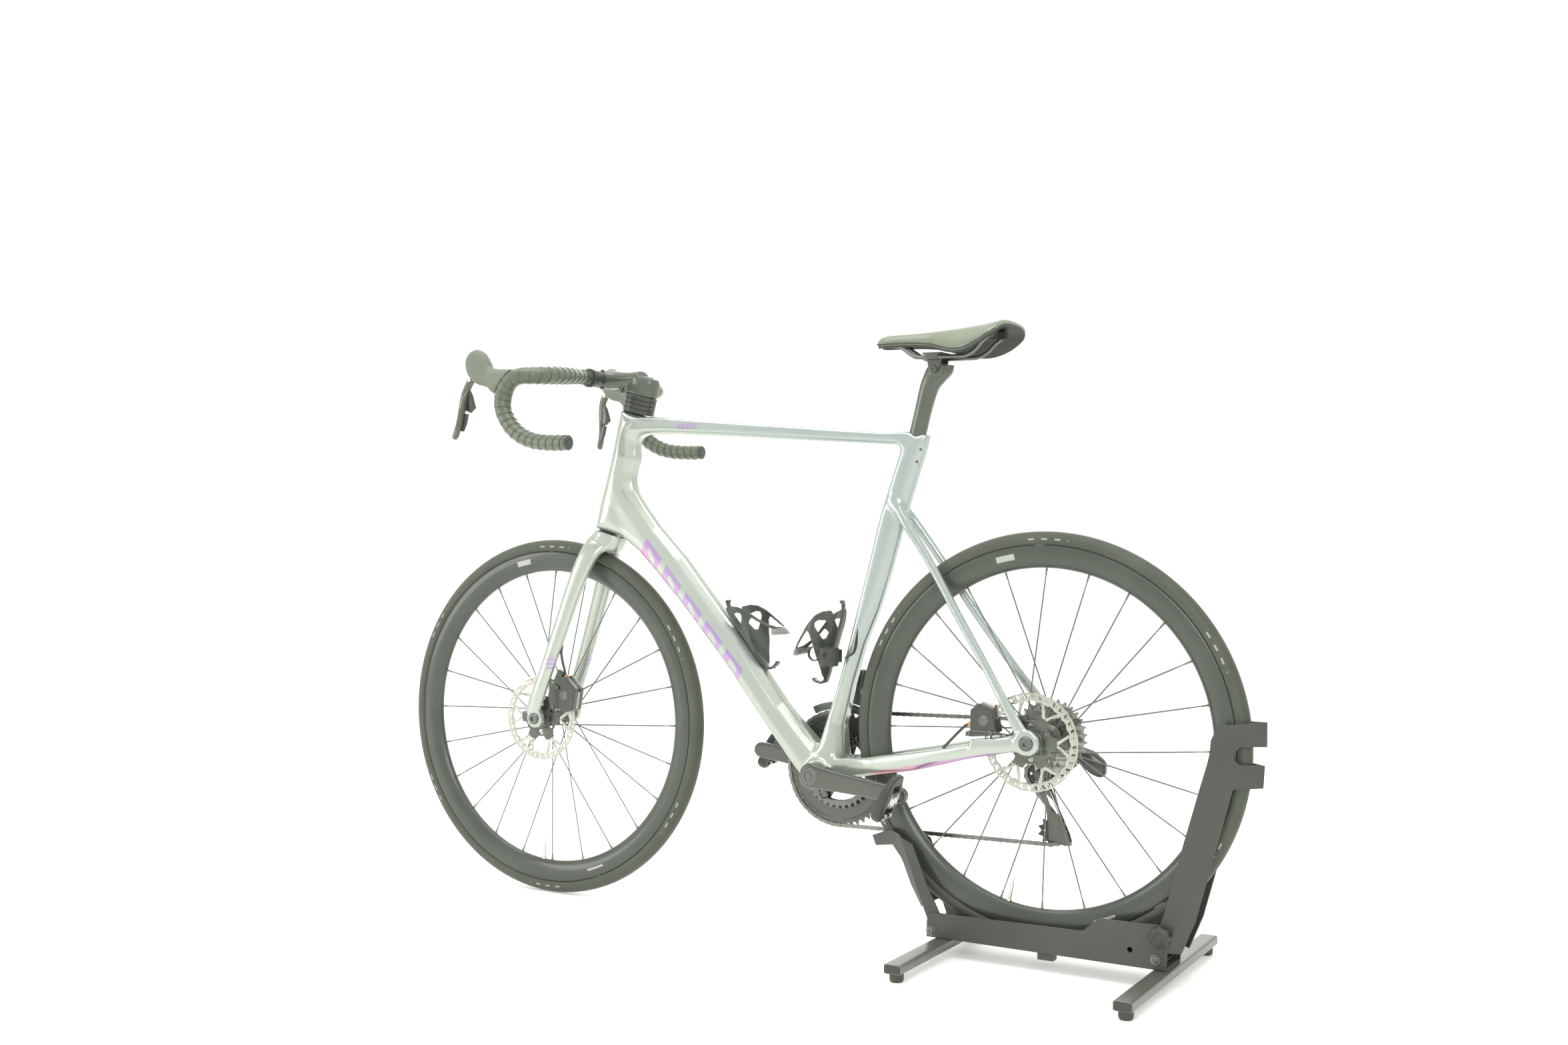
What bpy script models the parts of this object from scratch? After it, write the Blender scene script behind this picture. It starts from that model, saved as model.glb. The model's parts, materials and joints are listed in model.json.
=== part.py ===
"""Road bicycle held by its rear wheel in a folding two-arm floor stand.

Lengths inside this script are written in millimetres and turned into metres when a mesh is made.
+X is forward, +Y is the rider's left, +Z is up; the floor is z = 0.
"""
import math
import bpy
import bmesh
from mathutils import Vector, Matrix

# ---- driving dimensions (mm) ---------------------------------------------------------------
X_SHIFT = -489.6             # moves the origin from below the rear hub to the middle of the footprint
REAR_HUB = (0.0, 372.8)      # the stand lifts the rear wheel clear of the floor
FRONT_HUB = (1001.1, 340.0)
TYRE_SECTION = 14.5
RIM_OUTER = 317.0
RIM_INNER = 279.7
RIM_HALF = 13.4
HUB_OLD_FRONT = 100.0
HUB_OLD_REAR = 142.0
SPOKES = 24
ROTOR_R = 80.0
BB = (401.5, 283.5)
CRANK_LENGTH = 172.5
CRANK_ANGLE = 5.5            # degrees, right arm above level
BIG_TEETH = 50
SMALL_TEETH = 34
SMALL_COG = 11
PULLEY_TEETH = 11
PITCH = 12.7
RING_Y = -45.5
INNER_RING_Y = -38.5
COG_Y = -62.0
GUIDE_PULLEY = (33.0, 303.0)
TENSION_PULLEY = (7.5, 209.5)
STEER_TOP = (814.5, 921.5)   # a point on the steering axis, at the top of the head tube
STEER_LEAN = 14.04           # degrees from upright
HEAD_DEPTH = 62.0
HEAD_WIDTH = 48.0
BAR_CENTRE = (893.0, 986.0)
SADDLE_CLAMP = (200.0, 994.0)
STAND_HALF_WIDTH = 41.0
SHEET = 2.4
GAP = 0.3

COL = {
    "paint": ((0.62, 0.66, 0.62), 0.22, 0.35), "carbon": ((0.03, 0.031, 0.032), 0.38, 0.0),
    "rubber": ((0.025, 0.025, 0.026), 0.75, 0.0), "tape": ((0.03, 0.03, 0.032), 0.55, 0.0),
    "steel": ((0.55, 0.56, 0.57), 0.3, 1.0), "dark_steel": ((0.12, 0.12, 0.12), 0.4, 0.8),
    "black_alloy": ((0.035, 0.036, 0.038), 0.4, 0.5), "plastic": ((0.03, 0.03, 0.031), 0.5, 0.0),
    "stand_paint": ((0.09, 0.095, 0.1), 0.6, 0.2), "rotor": ((0.7, 0.69, 0.64), 0.3, 1.0),
}


def clear_scene():
    for ob in list(bpy.data.objects):
        bpy.data.objects.remove(ob, do_unlink=True)


def material(name, kind):
    mat = bpy.data.materials.new(name)
    mat.use_nodes = True
    bsdf = mat.node_tree.nodes["Principled BSDF"]
    colour, rough, metal = COL[kind]
    bsdf.inputs["Base Color"].default_value = (*colour, 1.0)
    bsdf.inputs["Roughness"].default_value = rough
    bsdf.inputs["Metallic"].default_value = metal
    mat.diffuse_color = (*colour, 1.0)
    return mat


def make(name, verts, faces, kind="plastic"):
    """One closed mesh object from millimetre coordinates, origin at the world origin."""
    mesh = bpy.data.meshes.new(name)
    pts = [((v[0] + X_SHIFT) * 0.001, v[1] * 0.001, v[2] * 0.001) for v in verts]
    mesh.from_pydata(pts, [], faces)
    bm = bmesh.new()
    bm.from_mesh(mesh)
    bmesh.ops.remove_doubles(bm, verts=bm.verts, dist=1e-7)
    bmesh.ops.recalc_face_normals(bm, faces=bm.faces)
    if bm.calc_volume(signed=True) < 0:
        bmesh.ops.reverse_faces(bm, faces=bm.faces)
    bmesh.ops.triangulate(bm, faces=[f for f in bm.faces if len(f.verts) > 4])
    bm.to_mesh(mesh)
    bm.free()
    ob = bpy.data.objects.new(name, mesh)
    bpy.context.scene.collection.objects.link(ob)
    ob.data.materials.append(material(name + "_mat", kind))
    return ob


def combine(target, others, operation="UNION"):
    """Boolean the other objects into the target and drop them."""
    for other in others:
        mod = target.modifiers.new("bool", "BOOLEAN")
        mod.operation = operation
        mod.solver = "EXACT"
        mod.object = other
        graph = bpy.context.evaluated_depsgraph_get()
        result = bpy.data.meshes.new_from_object(target.evaluated_get(graph))
        target.modifiers.clear()
        target.data = result
        bpy.data.objects.remove(other, do_unlink=True)
    tidy(target.data)
    return target


def tidy(mesh):
    """Weld slivers and cut every face into triangles, in the first way that keeps each edge on two faces."""
    for method in ("BEAUTY", "SHORT_EDGE", "LONG_EDGE", "FIXED", "ALTERNATE"):
        bm = bmesh.new()
        bm.from_mesh(mesh)
        bmesh.ops.remove_doubles(bm, verts=bm.verts, dist=2e-6)
        bmesh.ops.dissolve_degenerate(bm, edges=bm.edges, dist=2e-6)
        bmesh.ops.triangulate(bm, faces=bm.faces, quad_method=method)
        closed = all(len(e.link_faces) == 2 for e in bm.edges)
        if closed or method == "ALTERNATE":
            bm.to_mesh(mesh)
        bm.free()
        if closed:
            return


def set_origin(ob, point):
    """Move an object's origin to a millimetre point without moving its mesh."""
    p = Vector(((point[0] + X_SHIFT) * 0.001, point[1] * 0.001, point[2] * 0.001))
    ob.data.transform(Matrix.Translation(-p))
    ob.location = p
    return ob


# ---- shape helpers -------------------------------------------------------------------------
def oval(centre, u, v, a, b, n, power=2.0):
    ring = []
    for i in range(n):
        ang = 2 * math.pi * (i + 0.5) / n
        c, s = math.cos(ang), math.sin(ang)
        cu = math.copysign(abs(c) ** (2 / power), c)
        sv = math.copysign(abs(s) ** (2 / power), s)
        ring.append(Vector(centre) + Vector(u) * (a * cu) + Vector(v) * (b * sv))
    return ring


def loft(rings, closed=False):
    """Vertices and faces through equal rings, capped unless the loft closes on itself."""
    n = len(rings[0])
    m = len(rings)
    verts = [p for ring in rings for p in ring]
    faces = []
    for j in range(m if closed else m - 1):
        for i in range(n):
            a = j * n + i
            b = j * n + (i + 1) % n
            c = ((j + 1) % m) * n + (i + 1) % n
            d = ((j + 1) % m) * n + i
            faces.append((a, b, c, d))
    if not closed:
        faces.append(tuple(range(n)))
        faces.append(tuple((m - 1) * n + i for i in range(n)))
    return verts, faces


def side_tube(rows, n=12, power=2.3):
    """Loft along pairs of edge points in side view: rows of (x1, z1, x2, z2, width, y)."""
    rings = []
    for x1, z1, x2, z2, width, y in rows:
        centre = Vector(((x1 + x2) / 2, y, (z1 + z2) / 2))
        u = Vector((x2 - x1, 0, z2 - z1))
        rings.append(oval(centre, u.normalized(), (0, 1, 0), u.length / 2, width / 2, n, power))
    return loft(rings)


def sweep(path, n=8, up=(0, 0, 1), power=2.0):
    """Loft along rows of (x, y, z, a, b): a along the local up, b across."""
    pts = [Vector(r[:3]) for r in path]
    rings = []
    prev = None
    for i, row in enumerate(path):
        tan = (pts[min(i + 1, len(pts) - 1)] - pts[max(i - 1, 0)]).normalized()
        ref = Vector(up) if prev is None else prev
        u = (ref - tan * ref.dot(tan)).normalized()
        prev = u
        rings.append(oval(pts[i], u, tan.cross(u), row[3], row[4], n, power))
    return loft(rings)


def prism(outline, y0, y1):
    """Side-view outline of (x, z) pushed from y0 to y1."""
    n = len(outline)
    verts = [(x, y0, z) for x, z in outline] + [(x, y1, z) for x, z in outline]
    faces = [tuple(range(n)), tuple(range(n, 2 * n))]
    faces += [(i, (i + 1) % n, n + (i + 1) % n, n + i) for i in range(n)]
    return verts, faces


def box(lo, hi):
    return prism([(lo[0], lo[2]), (hi[0], lo[2]), (hi[0], hi[2]), (lo[0], hi[2])], lo[1], hi[1])


def lathe(profile, hub, segments, ring=False):
    """Turn (radius, y) about the cross axis through hub; ring=True for a closed profile."""
    verts = []
    faces = []
    m = len(profile)
    for k in range(segments):
        ang = 2 * math.pi * k / segments
        c, s = math.cos(ang), math.sin(ang)
        for r, y in profile:
            verts.append((hub[0] + r * c, y, hub[1] + r * s))
    for k in range(segments):
        k2 = (k + 1) % segments
        for i in range(m if ring else m - 1):
            j = (i + 1) % m
            faces.append((k * m + i, k * m + j, k2 * m + j, k2 * m + i))
    if not ring:
        faces.append(tuple(k * m for k in range(segments)))
        faces.append(tuple(k * m + m - 1 for k in range(segments)))
    return verts, faces


def polar_plate(hub, y0, y1, radii, solid, count, turn=0.0):
    """Flat disc cut from polar cells; solid(band, sector) says which cells are metal."""
    verts = []
    index = {}
    faces = []
    edges = {}

    def vid(i, k, side):
        key = (i, k % count, side)
        if key not in index:
            ang = 2 * math.pi * (k % count) / count + turn
            r = radii[i]
            index[key] = len(verts)
            verts.append((hub[0] + r * math.cos(ang), y1 if side else y0, hub[1] + r * math.sin(ang)))
        return index[key]

    for i in range(len(radii) - 1):
        for k in range(count):
            if not solid(i, k):
                continue
            corners = [(i, k), (i + 1, k), (i + 1, k + 1), (i, k + 1)]
            for side in (0, 1):
                faces.append(tuple(vid(a, b, side) for a, b in corners))
            for p, q in zip(corners, corners[1:] + corners[:1]):
                key = frozenset(((p[0], p[1] % count), (q[0], q[1] % count)))
                edges.setdefault(key, []).append((p, q))
    for pair in edges.values():
        if len(pair) == 1:
            p, q = pair[0]
            faces.append((vid(*p, 0), vid(*q, 0), vid(*q, 1), vid(*p, 1)))
    return verts, faces


def mirror_y(data):
    verts, faces = data
    return [(v[0], -v[1], v[2]) for v in verts], [tuple(reversed(f)) for f in faces]


def pitch_radius(teeth):
    return PITCH / (2 * math.sin(math.pi / teeth))


def steer_point(t, across=0.0):
    """A point t mm up the steering axis from the head-tube top, and `across` mm in front of it."""
    lean = math.radians(STEER_LEAN)
    return (STEER_TOP[0] - t * math.sin(lean) + across * math.cos(lean),
            STEER_TOP[1] + t * math.cos(lean) + across * math.sin(lean))


def steer_oval(t, front, back, half, n=12, power=2.4):
    lean = math.radians(STEER_LEAN)
    mid = steer_point(t, (front - back) / 2)
    return oval((mid[0], 0, mid[1]), (math.cos(lean), 0, math.sin(lean)), (0, 1, 0),
                (front + back) / 2, half, n, power)


def sheet(name, verts, faces, thickness, kind):
    """Folded sheet metal: a mid-surface given real thickness."""
    ob = make(name, verts, faces, kind)
    mod = ob.modifiers.new("thick", "SOLIDIFY")
    mod.thickness = thickness * 0.001
    mod.offset = 0.0
    mod.use_even_offset = True
    graph = bpy.context.evaluated_depsgraph_get()
    ob.data = bpy.data.meshes.new_from_object(ob.evaluated_get(graph))
    ob.modifiers.clear()
    return ob


# ---- stand ---------------------------------------------------------------------------------
FRONT_PIVOT = (180.2, 41.0)
REAR_PIVOT = (-202.4, 46.8)
KNOB = (-211.4, 84.4)
ARM_Y = 37.0


def hole(x, z, radius, y0=-60.0, y1=60.0, segments=12):
    return make("cutter", *lathe([(radius, y0), (radius, y1)], (x, z), segments))


def build_stand():
    for name, x in (("front", 160.0), ("rear", -212.5)):
        make("stand_%s_crossbar" % name, *box((x - 15, -232, 14.3), (x + 15, 232, 30.0)), "stand_paint")
        for side, s in (("left", 1), ("right", -1)):
            foot = []
            for r, z in ((9.5, 0.0), (11.0, 3.0), (11.5, 14.0)):
                foot.append([(x + r * math.cos(a * math.pi / 6), s * 215 + r * math.sin(a * math.pi / 6), z)
                             for a in range(12)])
            make("stand_%s_foot_%s" % (name, side), *loft(foot), "rubber")

    top = [(188.5, 57), (187, 65), (182, 72), (-74, 75.5), (-85, 77), (-109.8, 99.5), (-224, 102)]
    plate_edge = [(188.5, 30.9)] + top + [(-219, 30.9)]
    n = len(plate_edge)
    inner = STAND_HALF_WIDTH - SHEET
    beam = make("stand_beam", *prism(plate_edge, inner, STAND_HALF_WIDTH), "stand_paint")
    far = make("p", *prism(plate_edge, -STAND_HALF_WIDTH, -inner))
    web = make("p", *box((-218.5, -inner - 1, 30.3), (188.0, inner + 1, 32.5)))
    tab = make("p", *box((-33, 18, 18.5), (-6, 36, 31.5)))
    combine(beam, [web, far, tab])
    combine(beam, [hole(*FRONT_PIVOT, 3.4), hole(*REAR_PIVOT, 3.4), hole(-161.6, 56.7, 4.5),
                   hole(*KNOB, 3.4, 0.0, 60.0)], "DIFFERENCE")

    def arm(name, crease, flange, strip, tabs, foot_x, foot_z, pivot):
        """Mid-surface of a folded arm: side flange, slanted strip, and loops that close round the tyre."""
        verts = []
        faces = []

        def add(points):
            ids = []
            for p in points:
                q = tuple(round(c, 4) for c in p)
                if q not in verts:
                    verts.append(q)
                ids.append(verts.index(q))
            faces.append(tuple(ids))

        for s in (1, -1):
            for i in range(len(crease) - 1):
                a, b = crease[i], crease[i + 1]
                fa, fb = flange[i], flange[i + 1]
                add([(a[0], s * ARM_Y, a[1]), (b[0], s * ARM_Y, b[1]),
                     (fb[0], s * ARM_Y, fb[1]), (fa[0], s * ARM_Y, fa[1])])
                if strip[i] is None or strip[i + 1] is None:
                    continue
                ga, gb = strip[i], strip[i + 1]
                add([(a[0], s * ARM_Y, a[1]), (b[0], s * ARM_Y, b[1]),
                     (gb[0], s * gb[2], gb[1]), (ga[0], s * ga[2], ga[1])])
            for i, apex_a, apex_b in tabs:
                ga, gb = strip[i], strip[i + 1]
                add([(ga[0], s * ga[2], ga[1]), (gb[0], s * gb[2], gb[1]),
                     (apex_b[0], 0.0, apex_b[1]), (apex_a[0], 0.0, apex_a[1])])
            add([(crease[0][0], s * ARM_Y, crease[0][1]), (flange[0][0], s * ARM_Y, flange[0][1]),
                 (foot_x[0], s * ARM_Y, foot_z), (foot_x[1], s * ARM_Y, foot_z)])
        add([(foot_x[0], ARM_Y, foot_z), (foot_x[1], ARM_Y, foot_z),
             (foot_x[1], -ARM_Y, foot_z), (foot_x[0], -ARM_Y, foot_z)])
        ob = sheet(name, verts, faces, SHEET, "stand_paint")
        combine(ob, [hole(pivot[0], pivot[1], 3.4)], "DIFFERENCE")
        return set_origin(ob, (pivot[0], 0, pivot[1]))

    # front arm: flange behind the fold, strip and hook in front of it
    crease = [(188, 58), (197, 80), (211, 116), (224, 150), (236, 180), (244, 196)]
    flange = [(160, 58), (171, 80), (190, 114), (205, 150), (219, 181), (240, 191)]
    strip = [None, (205, 76, 25), (226, 112, 24), (241, 146, 23), (258, 174, 22), (266, 199, 22)]
    arm("stand_front_arm", crease, flange, strip, [(4, (303, 165), (310, 182))], (175, 185.5), 36.2,
        FRONT_PIVOT)

    # rear arm: flange in front of the fold, strip and two loops behind it
    crease = [(-218, 58), (-239, 113), (-268.6, 230), (-293, 322), (-302.5, 357), (-304.5, 367),
              (-305.5, 378), (-306, 386.5), (-307, 420.5)]
    flange = [(-188, 58), (-212, 109.4), (-243.6, 232.6), (-268, 322), (-278, 357), (-281, 370),
              (-282.5, 380), (-283.5, 395), (-294.8, 420.5)]
    strip = [(-238, 56, 22), (-260, 110, 22), (-291, 228, 22), (-315, 320, 22), (-324, 359, 22),
             (-317, 367, 28), (-318, 378, 28), (-325, 386.5, 23.5), (-326, 422, 23.5)]
    arm("stand_rear_arm", crease, flange, strip,
        [(3, (-354, 322.5), (-356, 358)), (7, (-359, 386.5), (-359, 425))], (-196, -209), 37.2,
        REAR_PIVOT)

    def bolt(name, at):
        h = STAND_HALF_WIDTH
        prof = [(2.5, -h - 4), (7.2, -h - 2.6), (7.2, -h - GAP), (3.0, -h - GAP), (3.0, h + GAP),
                (7.2, h + GAP), (7.2, h + 2.6), (2.5, h + 4)]
        ob = make(name, *lathe(prof, at, 12), "dark_steel")
        set_origin(ob, (at[0], 0, at[1]))

    bolt("stand_front_bolt", FRONT_PIVOT)
    bolt("stand_rear_bolt", REAR_PIVOT)
    lobes = []
    for r, y in ((3.0, 38.5), (3.0, STAND_HALF_WIDTH + GAP), (16.0, STAND_HALF_WIDTH + GAP),
                 (16.5, 52.0), (14.0, 56.0), (8.0, 56.8)):
        ring = []
        for k in range(24):
            a = 2 * math.pi * k / 24
            rr = r if r < 12 else r + 1.0 * math.cos(8 * a)
            ring.append((KNOB[0] + rr * math.cos(a), y, KNOB[1] + rr * math.sin(a)))
        lobes.append(ring)
    set_origin(make("stand_knob", *loft(lobes), "plastic"), (KNOB[0], STAND_HALF_WIDTH, KNOB[1]))


# ---- wheels --------------------------------------------------------------------------------
def build_wheel(prefix, hub, old, rotor_y, flange_l, flange_r):
    t = TYRE_SECTION
    tyre = [(317.3, -11.5), (325.0, -t), (333.5, -11.5), (339.2, -4.5), (339.2, 4.5), (333.5, 11.5),
            (325.0, t), (317.3, 11.5)]
    set_origin(make(prefix + "_tyre", *lathe(tyre, hub, 36, True), "rubber"), (hub[0], 0, hub[1]))
    h = RIM_HALF
    rim = [(RIM_INNER, -3.0), (290.0, -11.0), (304.0, -h), (RIM_OUTER, -12.6),
           (RIM_OUTER, 12.6), (304.0, h), (290.0, 11.0), (RIM_INNER, 3.0)]
    set_origin(make(prefix + "_rim", *lathe(rim, hub, 36, True), "carbon"), (hub[0], 0, hub[1]))
    # hub shell with flanges, bored for the through axle, and straight spokes
    reach = old / 2 - 1.0
    bore = 6.6
    if prefix == "rear":
        prof = [(bore, reach), (11, reach), (11, rotor_y - 6), (17, rotor_y - 9), (26, flange_l + 3),
                (26, flange_l - 3), (13, flange_l - 10), (13, flange_r + 8), (21, flange_r + 3),
                (21, flange_r - 2), (15.5, flange_r - 4), (15.5, -66.0), (bore, -66.0)]
    else:
        prof = [(bore, reach), (10, reach), (10, rotor_y + 1.5), (15, rotor_y - 6), (20, flange_l + 3),
                (20, flange_l - 3), (11, flange_l - 8), (11, flange_r + 8), (17, flange_r + 3),
                (17, flange_r - 3), (10, flange_r - 6), (10, -reach), (bore, -reach)]
    body = make(prefix + "_hub_spokes", *lathe(prof, hub, 12, True), "black_alloy")
    spokes = []
    for k in range(SPOKES):
        left = k % 2 == 0
        base_y = flange_l if left else flange_r
        root_r = (22.0 if left else 17.5) if prefix == "rear" else (16.5 if left else 13.5)
        rim_ang = 2 * math.pi * k / SPOKES
        lead = math.radians(62 if (k // 2) % 2 == 0 else -62)
        hub_ang = rim_ang + lead
        a = Vector((hub[0] + root_r * math.cos(hub_ang), base_y, hub[1] + root_r * math.sin(hub_ang)))
        b = Vector((hub[0] + (RIM_INNER - 2.0) * math.cos(rim_ang), 0.5 if left else -0.5,
                    hub[1] + (RIM_INNER - 2.0) * math.sin(rim_ang)))
        d = (b - a).normalized()
        u = d.cross(Vector((0, 1, 0))).normalized()
        v = d.cross(u)
        rings = []
        for p, r in ((a - d * 2, 1.1), (b, 1.1)):
            rings.append([p + u * r, p + v * r * 0.9 - u * r * 0.5, p - v * r * 0.9 - u * r * 0.5])
        spokes.append(make("p", *loft(rings)))
    return body, spokes


def build_wheels():
    for prefix, hub, old, rotor_y, fl, fr in (
            ("rear", REAR_HUB, HUB_OLD_REAR, 62.0, 36.0, -21.0),
            ("front", FRONT_HUB, HUB_OLD_FRONT, 41.0, 24.0, -36.0)):
        body, spokes = build_wheel(prefix, hub, old, rotor_y, fl, fr)
        combine(body, spokes)
        set_origin(body, (hub[0], 0, hub[1]))

        def solid(i, k):
            if i in (0, 3):
                return True
            return k % 6 in ((0, 1) if i == 1 else (1, 2))

        inner = 16.0 if prefix == "rear" else 15.5
        rotor = make(prefix + "_rotor", *polar_plate(hub, rotor_y - 0.9, rotor_y + 0.9,
                                                     [inner, 25.0, 45.0, 65.5, ROTOR_R], solid, 24, 0.2),
                     "rotor")
        set_origin(rotor, (hub[0], 0, hub[1]))


# ---- frame ---------------------------------------------------------------------------------
def build_frame():
    parts = []
    half = HEAD_WIDTH / 2
    d = HEAD_DEPTH / 2
    rings = [steer_oval(t, d, d, w) for t, w in ((0.0, half), (-60, half - 1.5), (-130, half - 1),
                                                 (-190, half + 1), (-233, half + 2))]
    frame = make("frame", *loft(rings), "paint")
    down = [(871, 699, 846, 792, 44, 0), (838, 688, 817, 770, 47, 0), (800, 666, 760, 712, 50, 0),
            (746, 614, 702, 656, 52, 0), (698, 566, 658, 605, 52, 0), (598, 456, 556, 489, 53, 0),
            (526, 367, 486, 402, 57, 0), (452, 285, 420, 333, 66, 0), (424, 258, 385, 300, 74, 0)]
    parts.append(make("p", *side_tube(down, 12, 2.5)))
    top = [(812, 914, 815, 874, 40, 0), (781, 914, 783, 880, 40, 0), (740, 911, 742, 881, 40, 0),
           (600, 900.5, 601, 874, 38, 0), (440, 889, 441, 865, 34, 0), (300, 878.5, 301, 857, 30, 0),
           (238, 874, 239, 853, 29, 0)]
    parts.append(make("p", *side_tube(top, 10, 2.6)))
    seat = [(254, 877.5, 214, 872.5, 31, 0), (266, 838, 224, 834, 31, 0), (302, 736, 256, 732, 32, 0),
            (326, 640, 283, 634, 33, 0), (341, 582, 303, 572, 35, 0), (355, 524, 329, 510, 40, 0),
            (374, 450, 350, 440, 46, 0), (394, 386, 368, 370, 52, 0), (412, 325, 362, 305, 66, 0),
            (428, 285, 380, 270, 74, 0)]
    parts.append(make("p", *side_tube(seat, 12, 2.5)))
    parts.append(make("p", *lathe([(24.5, -43.0), (24.5, 43.0)], BB, 24)))
    for s in (1, -1):
        stay = [(276, s * 8, 762, 9, 8), (248, s * 20, 724, 8, 7.5), (204, s * 25, 665, 7.5, 6.5),
                (137, s * 40, 566, 7.5, 6.0), (90, s * 53, 500, 7.5, 5.2), (60, s * 64, 458, 8, 4.7),
                (46, s * 69.5, 439, 8.5, 4.6), (22, s * 76, 405, 10, 4.5), (4, s * 79, 378, 12, 4.5)]
        parts.append(make("p", *sweep(stay, 8, (0.8, 0, -0.6), 2.4)))
        chain = [(392, s * 29, 290, 20, 7.5), (350, s * 28.2, 297, 18, 7.4), (312, s * 31, 303, 16, 7.0),
                 (280, s * 39, 310, 16, 6.8), (245, s * 47.5, 317, 16, 6.8), (206, s * 56, 325, 15.5, 6.5),
                 (150, s * 66, 339, 13.5, 6.0),
                 (100, s * 74, 352, 12, 5.5), (50, s * 78.5, 363, 11.5, 5.0), (4, s * 79, 371, 12, 5.0)]
        parts.append(make("p", *sweep(chain, 8, (0, 0, 1), 2.6)))
        parts.append(make("p", *lathe([(20.5, s * 72.0), (20.5, s * 84.0)], REAR_HUB, 20)))
    # brake mount on the left stay
    parts.append(make("p", *prism([(98, 358), (20, 372), (26, 384), (94, 375)], 72.0, 80.0)))
    combine(frame, parts)
    cuts = [make("p", *lathe([(6.3, -90.0), (6.3, 90.0)], REAR_HUB, 16)),
            make("p", *lathe([(15.5, -50.0), (15.5, 50.0)], BB, 20))]
    # pocket for the seatpost
    cuts.append(make("p", *side_tube(post_rows(104.0, 6.0, 0.4), 14, 2.3)))
    combine(frame, cuts, "DIFFERENCE")
    return frame


POST_DIR = (math.sin(math.radians(13.6)), -math.cos(math.radians(13.6)))
POST_TOP = (236.0, 874.8)


def post_rows(below, above, grow):
    """Seatpost rows in the seat tube, measured down the tube from its top."""
    rows = []
    for t in (below, 0.0, -above):
        x = POST_TOP[0] + POST_DIR[0] * t
        z = POST_TOP[1] + POST_DIR[1] * t
        ux, uz = -POST_DIR[1], POST_DIR[0]
        h = 15.0 + grow
        rows.append((x + ux * h, z + uz * h, x - ux * h, z - uz * h, 2 * (11.5 + grow), 0))
    return rows


def build_seat():
    rows = post_rows(68.0, 42.0, 0.0)
    rows += [(232.5, 957, 200, 947, 23, 0), (226, 975, 188, 962, 23, 0),
             (221, 986, 174, 976, 22, 0), (215, 993, 170, 990, 20, 0)]
    post = make("seatpost", *side_tube(rows, 14, 2.3), "carbon")
    head = make("p", *lathe([(13.0, -13.0), (13.0, 13.0)], (SADDLE_CLAMP[0], SADDLE_CLAMP[1] - 7), 16))
    combine(post, [head])
    set_origin(post, (POST_TOP[0], 0, POST_TOP[1]))

    # yoke: two side cheeks joined over the rails
    cheek = [(213, 1001), (187, 1001), (190, 989), (197, 977), (205, 977), (211, 989)]
    clamp = make("seat_clamp", *prism([(217, 1011), (183, 1011), (183, 1007.3), (217, 1007.3)], -27, 27),
                 "black_alloy")
    for s in (1, -1):
        y = (14.0, 17.6) if s > 0 else (-17.6, -14.0)
        other = make("p", *prism(cheek, *y))
        riser = make("p", *prism([(209, 1000), (191, 1000), (191, 1008), (209, 1008)], *y))
        combine(clamp, [other, riser])

    half = [(96, 30, 1035, 3.5, 3.5), (108, 29, 1026, 3.5, 3.5), (122, 27, 1012, 3.5, 3.5),
            (138, 24, 1004.2, 3.5, 3.5), (160, 22.5, 1003.2, 3.5, 3.5), (222, 22.5, 1003.2, 3.5, 3.5),
            (238, 21, 1007, 3.5, 3.5), (262, 15, 1022, 3.5, 3.5), (284, 9, 1027.5, 3.5, 3.5),
            (292, 3, 1027.5, 3.5, 3.5)]
    rail = half + [(x, -y, z, a, b) for x, y, z, a, b in reversed(half)]
    make("saddle_rails", *sweep(rail, 6, (0, 1, 0.3)), "dark_steel")

    # saddle shell and its cover: sections across, from the nose to the tail
    stations = [(311, 9, 1031, 1035, 1027), (303, 17, 1030, 1041, 1026), (285, 20.5, 1030, 1045.5, 1026),
                (255, 21.5, 1030, 1047.5, 1026.5), (225, 24, 1029, 1048.5, 1027),
                (200, 31, 1026, 1049.5, 1026), (175, 46, 1019, 1051, 1021), (150, 60, 1014, 1053, 1017),
                (125, 69, 1015, 1056, 1017), (100, 73, 1024, 1059, 1022), (80, 72, 1036, 1061.5, 1030),
                (66, 64, 1046, 1062, 1042)]
    cover = []
    shell = []
    for x, w, edge, crown, low in stations:
        top = []
        for f in (-1.0, -0.86, -0.6, -0.3, 0.0, 0.3, 0.6, 0.86, 1.0):
            z = edge + (crown - edge) * (1 - abs(f) ** 2.6) ** 0.75
            top.append((x, f * w, z))
        under = [(x, f * (w - 1.5), z + 3.2 + (crown - edge) * 0.62 * (1 - abs(f) ** 2.2))
                 for f, z in ((0.92, edge - 1.5), (0.5, edge - 1.5), (0.0, edge - 1.5),
                              (-0.5, edge - 1.5), (-0.92, edge - 1.5))]
        cover.append(top + under)
        lo = [(x, f * (w - 3), edge + 0.3 + (crown - edge) * 0.62 * (1 - abs(f) ** 2.2) - drop)
              for f, drop in ((-0.9, 0.0), (-0.5, 0.0), (0.0, 0.0), (0.5, 0.0), (0.9, 0.0))]
        hi = [(x, f * (w - 3), edge + 0.3 + (crown - edge) * 0.62 * (1 - abs(f) ** 2.2) - 2.4)
              for f in (0.9, 0.5, 0.0, -0.5, -0.9)]
        shell.append(lo + hi)
    make("saddle_cover", *loft(cover), "tape")
    make("saddle_shell", *loft(shell), "plastic")


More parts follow.
